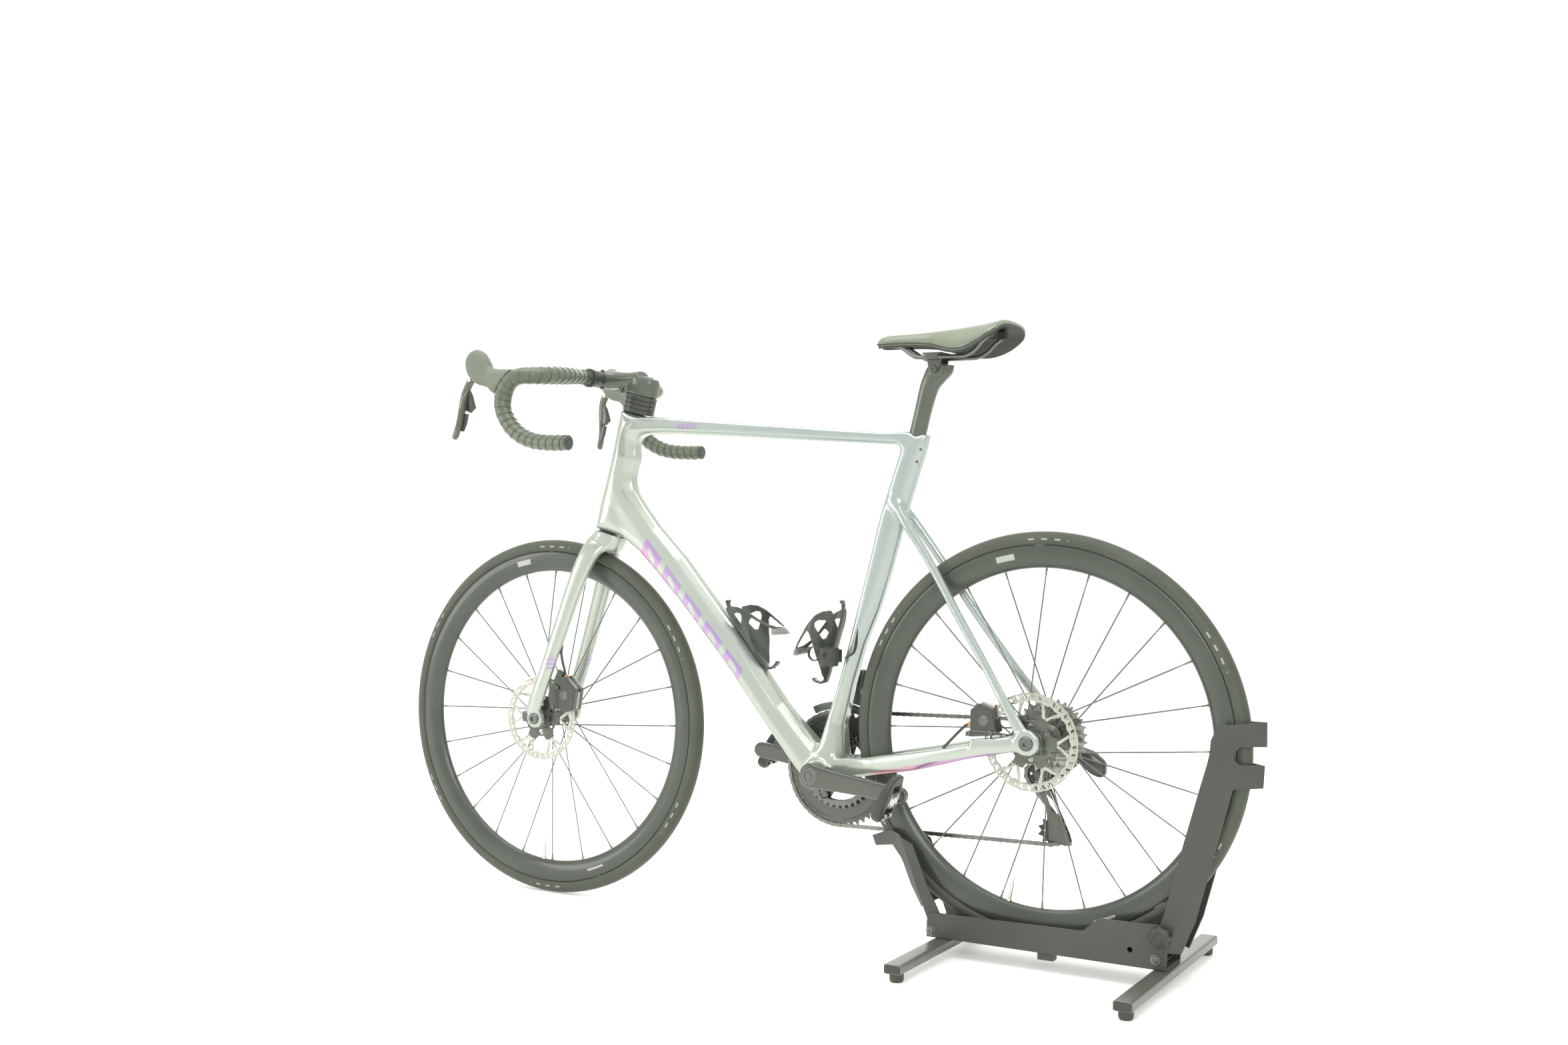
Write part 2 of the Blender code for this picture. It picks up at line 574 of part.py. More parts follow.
# ---- steering ------------------------------------------------------------------------------
def build_steering():
    legs = [(1012, 58, 348, 15, 5.5), (1002, 59, 368, 15, 7.5), (986, 58, 410, 14.5, 8.5),
            (966, 55, 465, 15, 9.0), (945, 51, 525, 16, 9.5), (928, 47.5, 575, 17, 10),
            (911, 42.5, 622, 18.5, 10.5), (899, 35, 653, 20, 10.5), (889, 22, 675, 23, 9.5),
            (885, 8, 682, 25, 9)]
    rows = legs + [(x, -y, z, a, b) for x, y, z, a, b in reversed(legs)]
    lean = math.radians(STEER_LEAN)
    rings = []
    pts = [Vector(r[:3]) for r in rows]
    fore = Vector((math.cos(lean), 0, math.sin(lean)))
    for i, row in enumerate(rows):
        tan = (pts[min(i + 1, len(pts) - 1)] - pts[max(i - 1, 0)]).normalized()
        u = (fore - tan * fore.dot(tan)).normalized()
        rings.append(oval(pts[i], u, tan.cross(u), row[3], row[4], 10, 2.3))
    fork = make("fork", *loft(rings), "paint")
    parts = [make("p", *loft([steer_oval(-260, 26, 26, 24), steer_oval(-247, 30, 30, 26),
                              steer_oval(-234.2, 31, 31, 26)]))]
    for s in (1, -1):
        parts.append(make("p", *lathe([(17.5, s * 52.0), (17.5, s * 64.0)], FRONT_HUB, 20)))
    combine(fork, parts)
    combine(fork, [make("p", *lathe([(6.3, -80.0), (6.3, 80.0)], FRONT_HUB, 16))], "DIFFERENCE")
    set_origin(fork, (STEER_TOP[0], 0, STEER_TOP[1]))

    d = HEAD_DEPTH / 2
    spacers = make("headset_spacers", *loft([steer_oval(GAP, d, d, 23), steer_oval(34.0, d, d, 22)]),
                   "plastic")
    set_origin(spacers, (STEER_TOP[0], 0, STEER_TOP[1]))

    stem = make("stem", *loft([steer_oval(34.3, d, d, 22), steer_oval(60, d - 1, d, 21.5),
                               steer_oval(69, d - 4, d - 3, 19)]), "black_alloy")
    arm = [(800, 976, 808, 1000, 40, 0), (835, 968, 835, 999, 38, 0), (862, 966.5, 860, 1001, 37, 0),
           (880, 966.5, 878, 1003, 40, 0), (898, 968.5, 898, 1004, 44, 0), (911, 976, 911, 997, 42, 0)]
    body = make("p", *side_tube(arm, 12, 2.6))
    combine(stem, [body])
    combine(stem, [make("p", *lathe([(16.2, -40.0), (16.2, 40.0)], BAR_CENTRE, 20))], "DIFFERENCE")
    set_origin(stem, (STEER_TOP[0], 0, STEER_TOP[1]))

    bx, bz = BAR_CENTRE
    bar = make("handlebar", *loft([oval((bx, y, bz), (1, 0, 0), (0, 0, 1), r, r, 16)
                                   for y, r in ((-62.0, 12.5), (-50, 13.2), (-34, 15.9), (34, 15.9),
                                                (50, 13.2), (62.0, 12.5))]), "carbon")
    set_origin(bar, (STEER_TOP[0], 0, STEER_TOP[1]))

    wrap = [(893, 62.3, 986, 12.3, 13), (893, 85, 985.5, 13.5, 15), (893, 115, 984.5, 15.2, 17),
            (894, 150, 982.5, 15.8, 17.5), (899, 178, 980.5, 15.8, 17), (912, 198, 979, 15.5, 16.5),
            (932, 207, 977.5, 15, 16), (949, 209.5, 970, 15, 15.5), (960, 210, 957, 15.5, 15.5),
            (965.5, 211, 940, 16, 15), (965, 212, 922, 15.5, 15), (957, 213, 904, 15, 15),
            (941, 214.5, 885, 15, 15), (918, 216, 869.5, 14.5, 14.5), (890, 217, 860, 14, 14),
            (858, 218, 856.5, 13.8, 13.8), (824, 219, 856, 13.8, 13.8), (812, 219.5, 856, 12.5, 12.5)]
    fat = [(x, y, z, a + 0.4, b + 0.4) for x, y, z, a, b in wrap[3:14]]
    rows = [((945, 991), (983, 946), 33, 208), ((960, 991.5), (992, 950), 33, 208.5),
            ((980, 992.5), (1000, 958), 31, 209), ((993, 996), (1010, 961), 30, 209.5),
            ((1000, 1009), (1022, 964), 31, 210), ((1010, 1022), (1033, 970), 32, 210.5),
            ((1024, 1029), (1043, 980), 31, 211), ((1038, 1025), (1047, 991), 27, 211),
            ((1046, 1015), (1048, 1001), 15, 211)]
    for side, s in (("left", 1), ("right", -1)):
        data = sweep(wrap, 10, (0, 0, 1), 2.2)
        tape = make("bar_tape_" + side, *(data if s > 0 else mirror_y(data)), "tape")
        set_origin(tape, (STEER_TOP[0], 0, STEER_TOP[1]))
        hood_rows = [(a[0], a[1], b[0], b[1], w, s * y) for a, b, w, y in rows]
        hood = make("hood_" + side, *side_tube(hood_rows, 12, 2.4), "rubber")
        cut = sweep(fat, 10, (0, 0, 1), 2.2)
        combine(hood, [make("p", *(cut if s > 0 else mirror_y(cut)))], "DIFFERENCE")
        set_origin(hood, (STEER_TOP[0], 0, STEER_TOP[1]))
        # slot under the hood nose where the lever goes in
        lever_rows = [(1046.5, 977, 1034, 968, 9, 211), (1053, 962, 1041, 957, 12, 212),
                      (1057, 940, 1046, 938, 15, 216), (1058.5, 915, 1049, 914, 16, 219.5),
                      (1061, 893, 1053, 890, 15, 222.5), (1067, 873, 1058, 870, 13, 225),
                      (1066, 865, 1059, 864, 9, 226)]
        lever_rows = [(a, b, c, e, w, s * y) for a, b, c, e, w, y in lever_rows]
        lever = make("brake_lever_" + side, *side_tube(lever_rows, 10, 2.4), "black_alloy")
        set_origin(lever, (1040, s * 211, 973))
        for tag, outline, off in (("upper", [(1040, 955), (1036, 944), (1028, 922), (1039, 913),
                                             (1045, 922), (1042.5, 940)], 0.0),
                                  ("lower", [(1039.5, 909), (1046, 911), (1048.5, 895), (1051, 884),
                                             (1047, 884), (1043, 895)], 3.0)):
            y0, y1 = 210.0 + off, 214.0 + off
            pad = make("shift_paddle_%s_%s" % (tag, side),
                       *prism(outline, *((y0, y1) if s > 0 else (-y1, -y0))), "black_alloy")
            set_origin(pad, (1044, s * 212, 950))


# ---- drivetrain ----------------------------------------------------------------------------
def arc_points(centre, radius, start, end, count):
    return [(centre[0] + radius * math.cos(math.radians(start + (end - start) * i / count)),
             centre[1] + radius * math.sin(math.radians(start + (end - start) * i / count)))
            for i in range(count + 1)]


def chain_path():
    """Closed loop in side view: chainring, upper run, cog, both pulleys, lower run."""
    ring = pitch_radius(BIG_TEETH)
    cog = pitch_radius(SMALL_COG)
    pul = pitch_radius(PULLEY_TEETH)

    def tangent(c1, r1, c2, r2, side1, side2):
        """Tangent line touching circle 1 and circle 2, on the given turning sides."""
        dx, dz = c2[0] - c1[0], c2[1] - c1[1]
        dist = math.hypot(dx, dz)
        base = math.atan2(dz, dx)
        off = math.acos((side1 * r1 - side2 * r2) / dist)
        ang = base + off
        p1 = (c1[0] + side1 * r1 * math.cos(ang), c1[1] + side1 * r1 * math.sin(ang))
        p2 = (c2[0] + side2 * r2 * math.cos(ang), c2[1] + side2 * r2 * math.sin(ang))
        return p1, p2

    wheels = [(BB, ring, 1, RING_Y), (REAR_HUB, cog, 1, COG_Y),
              (GUIDE_PULLEY, pul, -1, COG_Y), (TENSION_PULLEY, pul, 1, COG_Y)]
    points = []
    spans = []
    for i, (c1, r1, s1, _) in enumerate(wheels):
        c2, r2, s2, _ = wheels[(i + 1) % 4]
        # going round with the wheels on the left hand, tangents leave on the -side
        spans.append(tangent(c1, r1, c2, r2, -s1, -s2))
    for i, (c, r, s, y) in enumerate(wheels):
        enter = spans[i - 1][1]
        leave = spans[i][0]
        a0 = math.atan2(enter[1] - c[1], enter[0] - c[0])
        a1 = math.atan2(leave[1] - c[1], leave[0] - c[0])
        if s > 0:
            while a1 < a0:
                a1 += 2 * math.pi
        else:
            while a1 > a0:
                a1 -= 2 * math.pi
        count = max(4, int(abs(a1 - a0) / (0.2 if r > 60 else 0.45)))
        for k in range(count + 1):
            a = a0 + (a1 - a0) * k / count
            points.append((c[0] + r * math.cos(a), y, c[1] + r * math.sin(a)))
        nxt = wheels[(i + 1) % 4][3]
        p, q = spans[i]
        if math.hypot(q[0] - p[0], q[1] - p[1]) > 150:
            for f in (0.33, 0.66):
                points.append((p[0] + (q[0] - p[0]) * f, y + (nxt - y) * f, p[1] + (q[1] - p[1]) * f))
    return points


def build_drivetrain():
    pts = chain_path()
    n = len(pts)
    rings = []
    for i, p in enumerate(pts):
        a, b = Vector(pts[i - 1]), Vector(pts[(i + 1) % n])
        tan = (b - a).normalized()
        nrm = Vector((-tan.z, 0, tan.x)).normalized()
        c = Vector(p)
        w, hgt = 2.6, 4.2
        rings.append([c + nrm * hgt + Vector((0, w, 0)), c + nrm * hgt - Vector((0, w, 0)),
                      c - nrm * hgt - Vector((0, w, 0)), c - nrm * hgt + Vector((0, w, 0))])
    make("chain", *loft(rings, True), "steel")

    def disc(name, centre, y, outer, inner, thick, kind, arms=0, count=40):
        mid = inner + 0.55 * (outer - inner)

        def solid(i, k):
            return True if arms == 0 or i != 0 else (k % (count // arms)) < 3

        radii = [inner, outer] if arms == 0 else [inner, mid, outer]
        ob = make(name, *polar_plate(centre, y - thick / 2, y + thick / 2, radii, solid, count), kind)
        return set_origin(ob, (centre[0], 0, centre[1]))

    lim = pitch_radius(BIG_TEETH) - 5.6
    disc("big_chainring", BB, RING_Y, lim, 53.0, 3.2, "black_alloy", 0, 50)
    low = pitch_radius(SMALL_TEETH) + 2.5
    disc("small_chainring", BB, INNER_RING_Y, low, 53.0, 2.6, "black_alloy", 0, 34)

    # cassette: stepped cogs on one carrier, the smallest kept inside the chain
    prof = []
    y = -27.5
    for tooth, wide in ((30, 1.7), (27, 1.7), (24, 1.7), (21, 4.65), (18, 4.65), (15, 4.65), (13, 4.0)):
        r = pitch_radius(tooth) + 2.5
        prof += [(r, y), (r, y - wide)]
        y -= wide + 1.2
    r = pitch_radius(SMALL_COG) - 5.8
    prof += [(r, y), (r, y - 3.4)]
    prof = [(16.2, -26.8)] + [(prof[0][0] - 8, -26.8)] + prof + [(16.2, y - 3.4)]
    cas = make("cassette", *lathe(prof, REAR_HUB, 20, True), "steel")
    set_origin(cas, (REAR_HUB[0], 0, REAR_HUB[1]))

    up = math.radians(CRANK_ANGLE)
    for side, s in (("right", -1), ("left", 1)):
        k = 1 if side == "right" else -1
        ux, uz = k * math.cos(up), k * math.sin(up)

        def at(t, off):
            return (BB[0] + ux * t - uz * off, BB[1] + uz * t + ux * off)

        rows = []
        for t, hw, y0, y1 in ((-21, 9, 51.5, 64), (-14, 18, 51.5, 67), (0, 22, 51.5, 68.5),
                              (22, 20, 53, 69.5), (70, 17, 56.5, 71.5), (130, 15, 60, 73.5),
                              (172.5, 14.5, 61.5, 74.5), (183, 11, 61.5, 74.3), (187.5, 5, 62, 74)):
            p = at(t, hw)
            q = at(t, -hw)
            rows.append((p[0], p[1], q[0], q[1], y1 - y0, s * (y0 + y1) / 2))
        arm = make("crank_" + side, *side_tube(rows, 12, 3.0), "black_alloy")
        if side == "right":
            axle = make("p", *lathe([(12.0, -56.0), (12.0, 51.2)], BB, 16))
            spider = make("p", *polar_plate(BB, -51.8, -48.0, [10.0, 34.0, 52.0, 62.0],
                                            lambda i, kk: i == 0 or (kk % 6) in (0, 1), 24, 0.5))
            combine(arm, [axle, spider])
        set_origin(arm, (BB[0], 0, BB[1]))

        # pedal: axle housing, body hanging with its nose up
        px, pz = at(CRANK_LENGTH, 0)
        nose = Vector((-0.38, 0, 0.925)).normalized()
        flat = Vector((nose.z, 0, -nose.x))
        body_rows = []
        for t, half_w, h0, h1 in ((-40, 20, -10, 5), (-30, 27, -12, 8), (-8, 31, -9, 9), (12, 31, -8, 9),
                                  (28, 24, -6, 7), (40, 16, -4, 8), (44, 8, -2, 7)):
            c = Vector((px, 0, pz)) + nose * t + flat * ((h0 + h1) / 2)
            ring = []
            for a, b in ((1, 0.8), (0.8, 1), (-0.8, 1), (-1, 0.8),
                         (-1, -0.8), (-0.8, -1), (0.8, -1), (1, -0.8)):
                q = c + flat * (b * (h1 - h0) / 2)
                ring.append((q.x, s * 109.0 + a * half_w, q.z))
            body_rows.append(ring)
        pedal = make("pedal_" + side, *loft(body_rows), "plastic")
        stub = make("p", *lathe([(5.5, s * 74.9), (7.5, s * 80.0), (7.5, s * 100.0)], (px, pz), 12))
        combine(pedal, [stub])
        set_origin(pedal, (px, s * 78.0, pz))

    # rear derailleur: hanger and motor body, cage, two pulleys
    body = make("p", *loft([
        oval((-2, -71, 352), (1, 0, 0), (0, 1, 0), 8, 3.0, 10),
        oval((-12, -72, 343), (1, 0, 0), (0, 1, 0), 12, 6, 10),
        oval((-28, -79, 338), (0.5, 0, 0.9), (0, 1, 0), 20, 9, 10),
        oval((-45, -84, 330), (0.3, 0, 1), (0, 1, 0), 24, 12, 10),
        oval((-66, -86, 322), (0.2, 0, 1), (0, 1, 0), 20, 11, 10),
        oval((-77, -86, 318), (0, 0, 1), (0, 1, 0), 11, 6, 10)]),
        "plastic")
    gx, gz = GUIDE_PULLEY
    tx, tz = TENSION_PULLEY
    knuckle = make("rear_derailleur", *loft([oval((-35, -82.5, 334), (0.3, 0, 1), (0, 1, 0), 6, 4.5, 8),
                                             oval((0, -80, 307), (0, 0, 1), (0, 1, 0), 12, 6, 8),
                                             oval((gx, -77.5, gz), (0, 0, 1), (0, 1, 0), 13, 5, 8)]),
                   "plastic")
    tidy(body.data)
    tidy(knuckle.data)
    combine(knuckle, [body])
    set_origin(knuckle, (-2, -71, 352))
    cage_y = (COG_Y - 6.5, COG_Y - 4.5)
    outline = [(gx + 12, gz + 2), (gx + 8, gz + 11), (gx - 6, gz + 11), (gx - 13, gz - 4), (-4, 245),
               (-24, 205), (-27, 191), (-20, 187), (14, 190), (17, 212), (20, 240)]
    cage = make("rear_derailleur_cage", *prism(outline, *cage_y), "black_alloy")
    inner = make("p", *prism([(gx + 9, gz + 2), (gx + 4, gz + 10), (gx - 8, gz + 6), (-8, 236), (-24, 203),
                              (-26, 191), (-18, 188), (12, 196), (14, 236)],
                             COG_Y + 4.5, COG_Y + 6.3))
    bridge = make("p", *box((-26, cage_y[0] + 0.5, 188), (-21, COG_Y + 6.0, 196)))
    pins = [make("p", *lathe([(3.0, cage_y[0] + 0.5), (3.0, COG_Y + 6.0)], c, 8))
            for c in (GUIDE_PULLEY, TENSION_PULLEY)]
    combine(cage, [bridge] + pins + [inner])
    set_origin(cage, (gx, COG_Y, gz))
    for name, c in (("guide_pulley", GUIDE_PULLEY), ("tension_pulley", TENSION_PULLEY)):
        prof = [(3.4, COG_Y - 2.6), (9, COG_Y - 2.6), (9, COG_Y - 1.0), (17.6, COG_Y - 1.0),
                (17.6, COG_Y + 1.0), (9, COG_Y + 1.0), (9, COG_Y + 2.6), (3.4, COG_Y + 2.6)]
        set_origin(make(name, *lathe(prof, c, 16, True), "plastic"), (c[0], 0, c[1]))

    # front derailleur: body on the seat tube and a two-plate cage over the chain
    fd = make("front_derailleur", *loft([
        oval((382, -33, 424), (1, 0, 0), (0, 1, 0), 8, 3.5, 8),
        oval((372, -40, 426), (1, 0, 0.3), (0, 1, 0), 14, 7, 8),
        oval((364, -42, 440), (1, 0, 0), (0, 1, 0), 17, 10, 8),
        oval((360, -42, 462), (1, 0, 0), (0, 1, 0), 11, 8, 8)]),
        "plastic")
    arm2 = make("p", *box((356, -44, 398), (376, -37, 430)))
    plates = []
    curve = arc_points(BB, 106.5, 62, 116, 6) + list(reversed(arc_points(BB, 118, 62, 116, 6)))
    plates.append(make("p", *prism(curve, -53.0, -51.5)))
    plates.append(make("p", *prism(curve, -39.8, -38.2)))
    cap = arc_points(BB, 116.5, 94, 112, 3) + list(reversed(arc_points(BB, 119.5, 94, 112, 3)))
    plates.append(make("p", *prism(cap, -53.0, -38.2)))
    combine(fd, [arm2] + plates[2:] + plates[:2])


# ---- small parts ---------------------------------------------------------------------------
def build_small():
    for name, hub, reach, cap in (("rear_thru_axle", REAR_HUB, 84.3, 12.0),
                                  ("front_thru_axle", FRONT_HUB, 64.3, 11.0)):
        prof = [(6.0, -reach), (6.0, reach), (cap, reach), (cap - 1.5, reach + 4.0)]
        set_origin(make(name, *lathe(prof, hub, 16), "dark_steel"), (hub[0], 0, hub[1]))

    # brake calipers: a body each side of the rotor, joined behind its edge
    def caliper(name, hub, yr, bridge, body, foot):
        ob = make(name, *prism(bridge, yr - 4.0, yr + 4.0), "black_alloy")
        a = make("p", *prism(body, yr + 2.2, yr + 15.5))
        b = make("p", *prism(body, yr - 14.5, yr - 2.2))
        f = make("p", *prism(foot, yr + 8.3, yr + 17.6))
        return combine(ob, [a, b, f])

    caliper("rear_caliper", REAR_HUB, 62.0, [(98, 381), (96, 428), (76, 434), (84, 381)],
            [(100, 377), (100, 420), (84, 432), (62, 424), (54, 386), (60, 382)],
            [(108, 376.6), (104, 386), (40, 386), (34, 384.5), (60, 380.4), (96, 376.4)])
    cal = caliper("front_caliper", FRONT_HUB, 41.0, [(922, 376), (915, 402), (944, 424), (948, 412), (930, 398)],
                  [(917, 360), (911, 400), (936, 424), (958, 414), (962, 372), (940, 355)],
                  [(955, 405), (938, 429), (950, 437), (973, 388), (967, 359), (950, 361)])
    set_origin(cal, (STEER_TOP[0], 0, STEER_TOP[1]))

    # bottle cages: base strip, two side arms meeting in a front lip
    def cage(name, base, out, half, lip):
        """Folded strip cage from side-view points: base line, outer arm line and the low lip."""
        strip = make(name, *sweep([(x, 0, z, 2.0, 8.0) for x, z in base], 6, (1, 0, 1), 2.5), "carbon")
        loops = []
        pts = [(x, y, z, 1.6, w) for x, y, z, w in out]
        whole = pts + [(x, -y, z, a, w) for x, y, z, a, w in reversed(pts[:-1])]
        loops.append(make("p", *sweep(whole, 6, half, 2.5)))
        loops.append(make("p", *sweep([(x, 0, z, 2.0, 9.0) for x, z in lip], 6, (0, 0, 1), 2.5)))
        return combine(strip, loops)

    cage("bottle_cage_down_tube", [(614, 564), (606, 554), (541, 476), (531, 464)],
         [(592, 3, 541, 3), (596, 24, 540, 8), (594, 35, 556, 8), (566, 39, 558, 8), (536, 37, 548, 6),
          (508, 26, 533, 5), (497, 0, 527, 5)], (0, 0, 1), [(540, 475), (532, 464), (522, 461), (512, 466)])
    cage("bottle_cage_seat_tube", [(369, 574), (372, 560), (398, 468), (403, 456)],
         [(380, 3, 536, 7), (376, 24, 552, 8), (386, 35, 560, 8), (412, 39, 552, 8), (436, 37, 530, 6),
          (450, 26, 500, 5), (455, 0, 486, 5)], (1, 0, 0), [(400, 462), (408, 446), (420, 441), (426, 443)])
    clip = make("pump_clip", *loft([oval((372, 58, z), (1, 0, 0), (0, 1, 0), r, r * 0.9, 12)
                                    for z, r in ((475, 16), (477, 17.5), (505, 18), (507, 17))]), "plastic")
    combine(clip, [make("p", *box((366, 30, 482), (378, 46, 500)))])


clear_scene()
build_stand()
build_wheels()
build_frame()
build_seat()
build_steering()
build_drivetrain()
build_small()
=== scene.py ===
import json
import math

import bmesh
import bpy
import numpy as np
from mathutils import Matrix, Vector

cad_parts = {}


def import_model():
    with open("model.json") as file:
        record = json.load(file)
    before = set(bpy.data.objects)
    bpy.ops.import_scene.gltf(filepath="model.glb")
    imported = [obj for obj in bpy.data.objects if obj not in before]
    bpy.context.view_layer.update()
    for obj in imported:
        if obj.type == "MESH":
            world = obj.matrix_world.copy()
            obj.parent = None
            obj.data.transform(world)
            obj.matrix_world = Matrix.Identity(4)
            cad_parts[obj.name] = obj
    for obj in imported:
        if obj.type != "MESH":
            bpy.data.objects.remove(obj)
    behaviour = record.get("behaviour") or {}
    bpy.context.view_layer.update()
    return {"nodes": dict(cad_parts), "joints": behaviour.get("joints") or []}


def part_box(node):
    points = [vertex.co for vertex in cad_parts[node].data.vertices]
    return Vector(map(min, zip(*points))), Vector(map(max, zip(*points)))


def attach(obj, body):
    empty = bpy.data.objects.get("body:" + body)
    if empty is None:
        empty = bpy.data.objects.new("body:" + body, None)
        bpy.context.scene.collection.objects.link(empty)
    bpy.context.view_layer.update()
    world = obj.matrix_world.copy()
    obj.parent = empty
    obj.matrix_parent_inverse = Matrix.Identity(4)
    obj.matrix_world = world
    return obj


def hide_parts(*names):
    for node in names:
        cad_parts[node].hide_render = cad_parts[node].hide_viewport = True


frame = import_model()

# Coordinates below are millimetres: x forward from the rear hub, y to the rider's left, z up
MM = 0.001
JOINT = {j["name"]: j for j in frame["joints"]}


def middle(node):
    """Centre of a CAD node's box, in metres."""
    low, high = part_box(node)
    return (low + high) / 2


HUB_X = middle("rear_tyre").x
REAR = (0.0, middle("rear_tyre").z / MM)
FRONT = (middle("front_tyre").x / MM - HUB_X / MM, middle("front_tyre").z / MM)


def joint_xz(name):
    """A joint's place as (x, z) in millimetres."""
    p = JOINT[name]["pos_m"]
    return ((p[0] - HUB_X) / MM, p[2] / MM)


BB = joint_xz("crank_spin")
GUIDE = joint_xz("guide_pulley_spin")
TENSION = joint_xz("tension_pulley_spin")
STEER = joint_xz("steering")
PEDAL = {"left": joint_xz("left_pedal_spin"), "right": joint_xz("right_pedal_spin")}
RIM_OUTER, RIM_INNER = 317.0, 279.7
SPOKES = 24
SIDES = (("left", 1), ("right", -1))
STEER_DIR = Vector(JOINT["steering"]["axis"])
FORE = Vector((STEER_DIR.z, 0, -STEER_DIR.x))


def world(p):
    """A point in millimetres as one in metres in the scene."""
    return Vector((HUB_X + p[0] * MM, p[1] * MM, p[2] * MM))


# ---- shapes: every function returns (vertices, faces) in millimetres ------------------------
def join(*shapes):
    verts, faces = [], []
    for v, f in shapes:
        n = len(verts)
        verts += [tuple(p) for p in v]
        faces += [tuple(i + n for i in q) for q in f]
    return verts, faces


def loft(rings, closed=False, caps=True):
    """Skin over rings that have the same number of points."""
    n, m = len(rings[0]), len(rings)
    verts = [tuple(p) for ring in rings for p in ring]
    faces = []
    for i in range(m if closed else m - 1):
        j = (i + 1) % m
        for k in range(n):
            l = (k + 1) % n
            faces.append((i * n + k, i * n + l, j * n + l, j * n + k))
    if caps and not closed:
        faces += [tuple(range(n - 1, -1, -1)), tuple((m - 1) * n + i for i in range(n))]
    return verts, faces


def unit_ring(n, power):
    """Points (x, y) round a superellipse of half size 1: power 2 is a circle, more is squarer."""
    out = []
    for a in (2 * math.pi * k / n for k in range(n)):
        out.append(tuple(math.copysign(abs(w) ** (2 / power), w) for w in (math.cos(a), math.sin(a))))
    return out


def oval(centre, u, v, a, b, n=24, power=2.0):
    """Ring of half size a along u and b along v."""
    c, u, v = Vector(centre), Vector(u).normalized(), Vector(v).normalized()
    return [c + u * (a * x) + v * (b * y) for x, y in unit_ring(n, power)]


def fine(rows, steps):
    """Catmull-Rom rows between the given ones."""
    if steps < 2:
        return [tuple(r) for r in rows]
    r = np.array(rows, float)
    p = np.vstack([2 * r[0] - r[1], r, 2 * r[-1] - r[-2]])
    out = []
    for i in range(1, len(p) - 2):
        for k in range(steps):
            t = k / steps
            out.append(tuple(0.5 * (2 * p[i] + (p[i + 1] - p[i - 1]) * t
                                    + (2 * p[i - 1] - 5 * p[i] + 4 * p[i + 1] - p[i + 2]) * t * t
                                    + (3 * p[i] - p[i - 1] - 3 * p[i + 1] + p[i + 2]) * t ** 3)))
    return out + [tuple(r[-1])]


def side_tube(rows, section, steps=4):
    """Tube from pairs of edge points in side view: rows (x1, z1, x2, z2, width, y).

    The section is the +y half of its ring, as (u, v) from the first edge (u=-1) to the second (u=1).
    """
    ring = list(section) + [(u, -v) for u, v in reversed(section)]
    rings = []
    for x1, z1, x2, z2, w, y in fine(rows, steps):
        c = Vector(((x1 + x2) / 2, y, (z1 + z2) / 2))
        u = Vector(((x2 - x1) / 2, 0, (z2 - z1) / 2))
        rings.append([c + u * a + Vector((0, w / 2 * b, 0)) for a, b in ring])
    return loft(rings)


def sweep(path, n=12, up=(0, 0, 1), power=2.0, steps=1, caps=True, closed=False):
    """Tube along rows (x, y, z, a, b): a is the half size along up, b across it."""
    rows = fine(path, steps)
    pts = [Vector(r[:3]) for r in rows]
    rings = []
    m = len(pts)
    for i, r in enumerate(rows):
        if closed:
            tan = pts[(i + 1) % m] - pts[i - 1]
        else:
            tan = pts[min(i + 1, m - 1)] - pts[max(i - 1, 0)]
        tan.normalize()
        u = Vector(up) - tan * Vector(up).dot(tan)
        u.normalize()
        rings.append(oval(pts[i], u, tan.cross(u), r[3], r[4], n, power))
    return loft(rings, closed, caps)


def wire(points, radius, n=8, steps=4, up=(0, 0, 1)):
    return sweep([(*p, radius, radius) for p in points], n, up, 2.0, steps)


def lathe(profile, hub, seg=48, ring=False, lobe=None):
    """Turned about the y axis through hub: profile rows are (radius, y), and lobe adds to the radius."""
    rings = []
    for r, y in profile:
        line = []
        for a in (2 * math.pi * k / seg for k in range(seg)):
            reach = r + (lobe(a, r) if lobe else 0.0)
            line.append((hub[0] + reach * math.cos(a), y, hub[1] + reach * math.sin(a)))
        rings.append(line)
    return loft(rings, ring)


def disc(centre, axis, profile, seg=24):
    """Turned about any axis from centre; profile rows are (radius, distance along the axis)."""
    a = Vector(axis).normalized()
    u = a.orthogonal().normalized()
    return loft([oval(Vector(centre) + a * d, u, a.cross(u), r, r, seg) for r, d in profile])


def block(lo, hi):
    (a, b, c), (d, e, f) = lo, hi
    v = [(a, b, c), (d, b, c), (d, e, c), (a, e, c), (a, b, f), (d, b, f), (d, e, f), (a, e, f)]
    return v, [(0, 3, 2, 1), (4, 5, 6, 7), (0, 1, 5, 4), (1, 2, 6, 5), (2, 3, 7, 6), (3, 0, 4, 7)]


def polar(centre, r, degrees):
    """Point (x, z) at a radius and an angle about a centre, from forward towards up."""
    a = math.radians(degrees)
    return (centre[0] + r * math.cos(a), centre[1] + r * math.sin(a))


def arc(centre, r, start, end, n=8):
    return [polar(centre, r, start + (end - start) * i / n) for i in range(n + 1)]


def circle(centre, r, n=24):
    return arc(centre, r, 0, 360, n)[:-1]


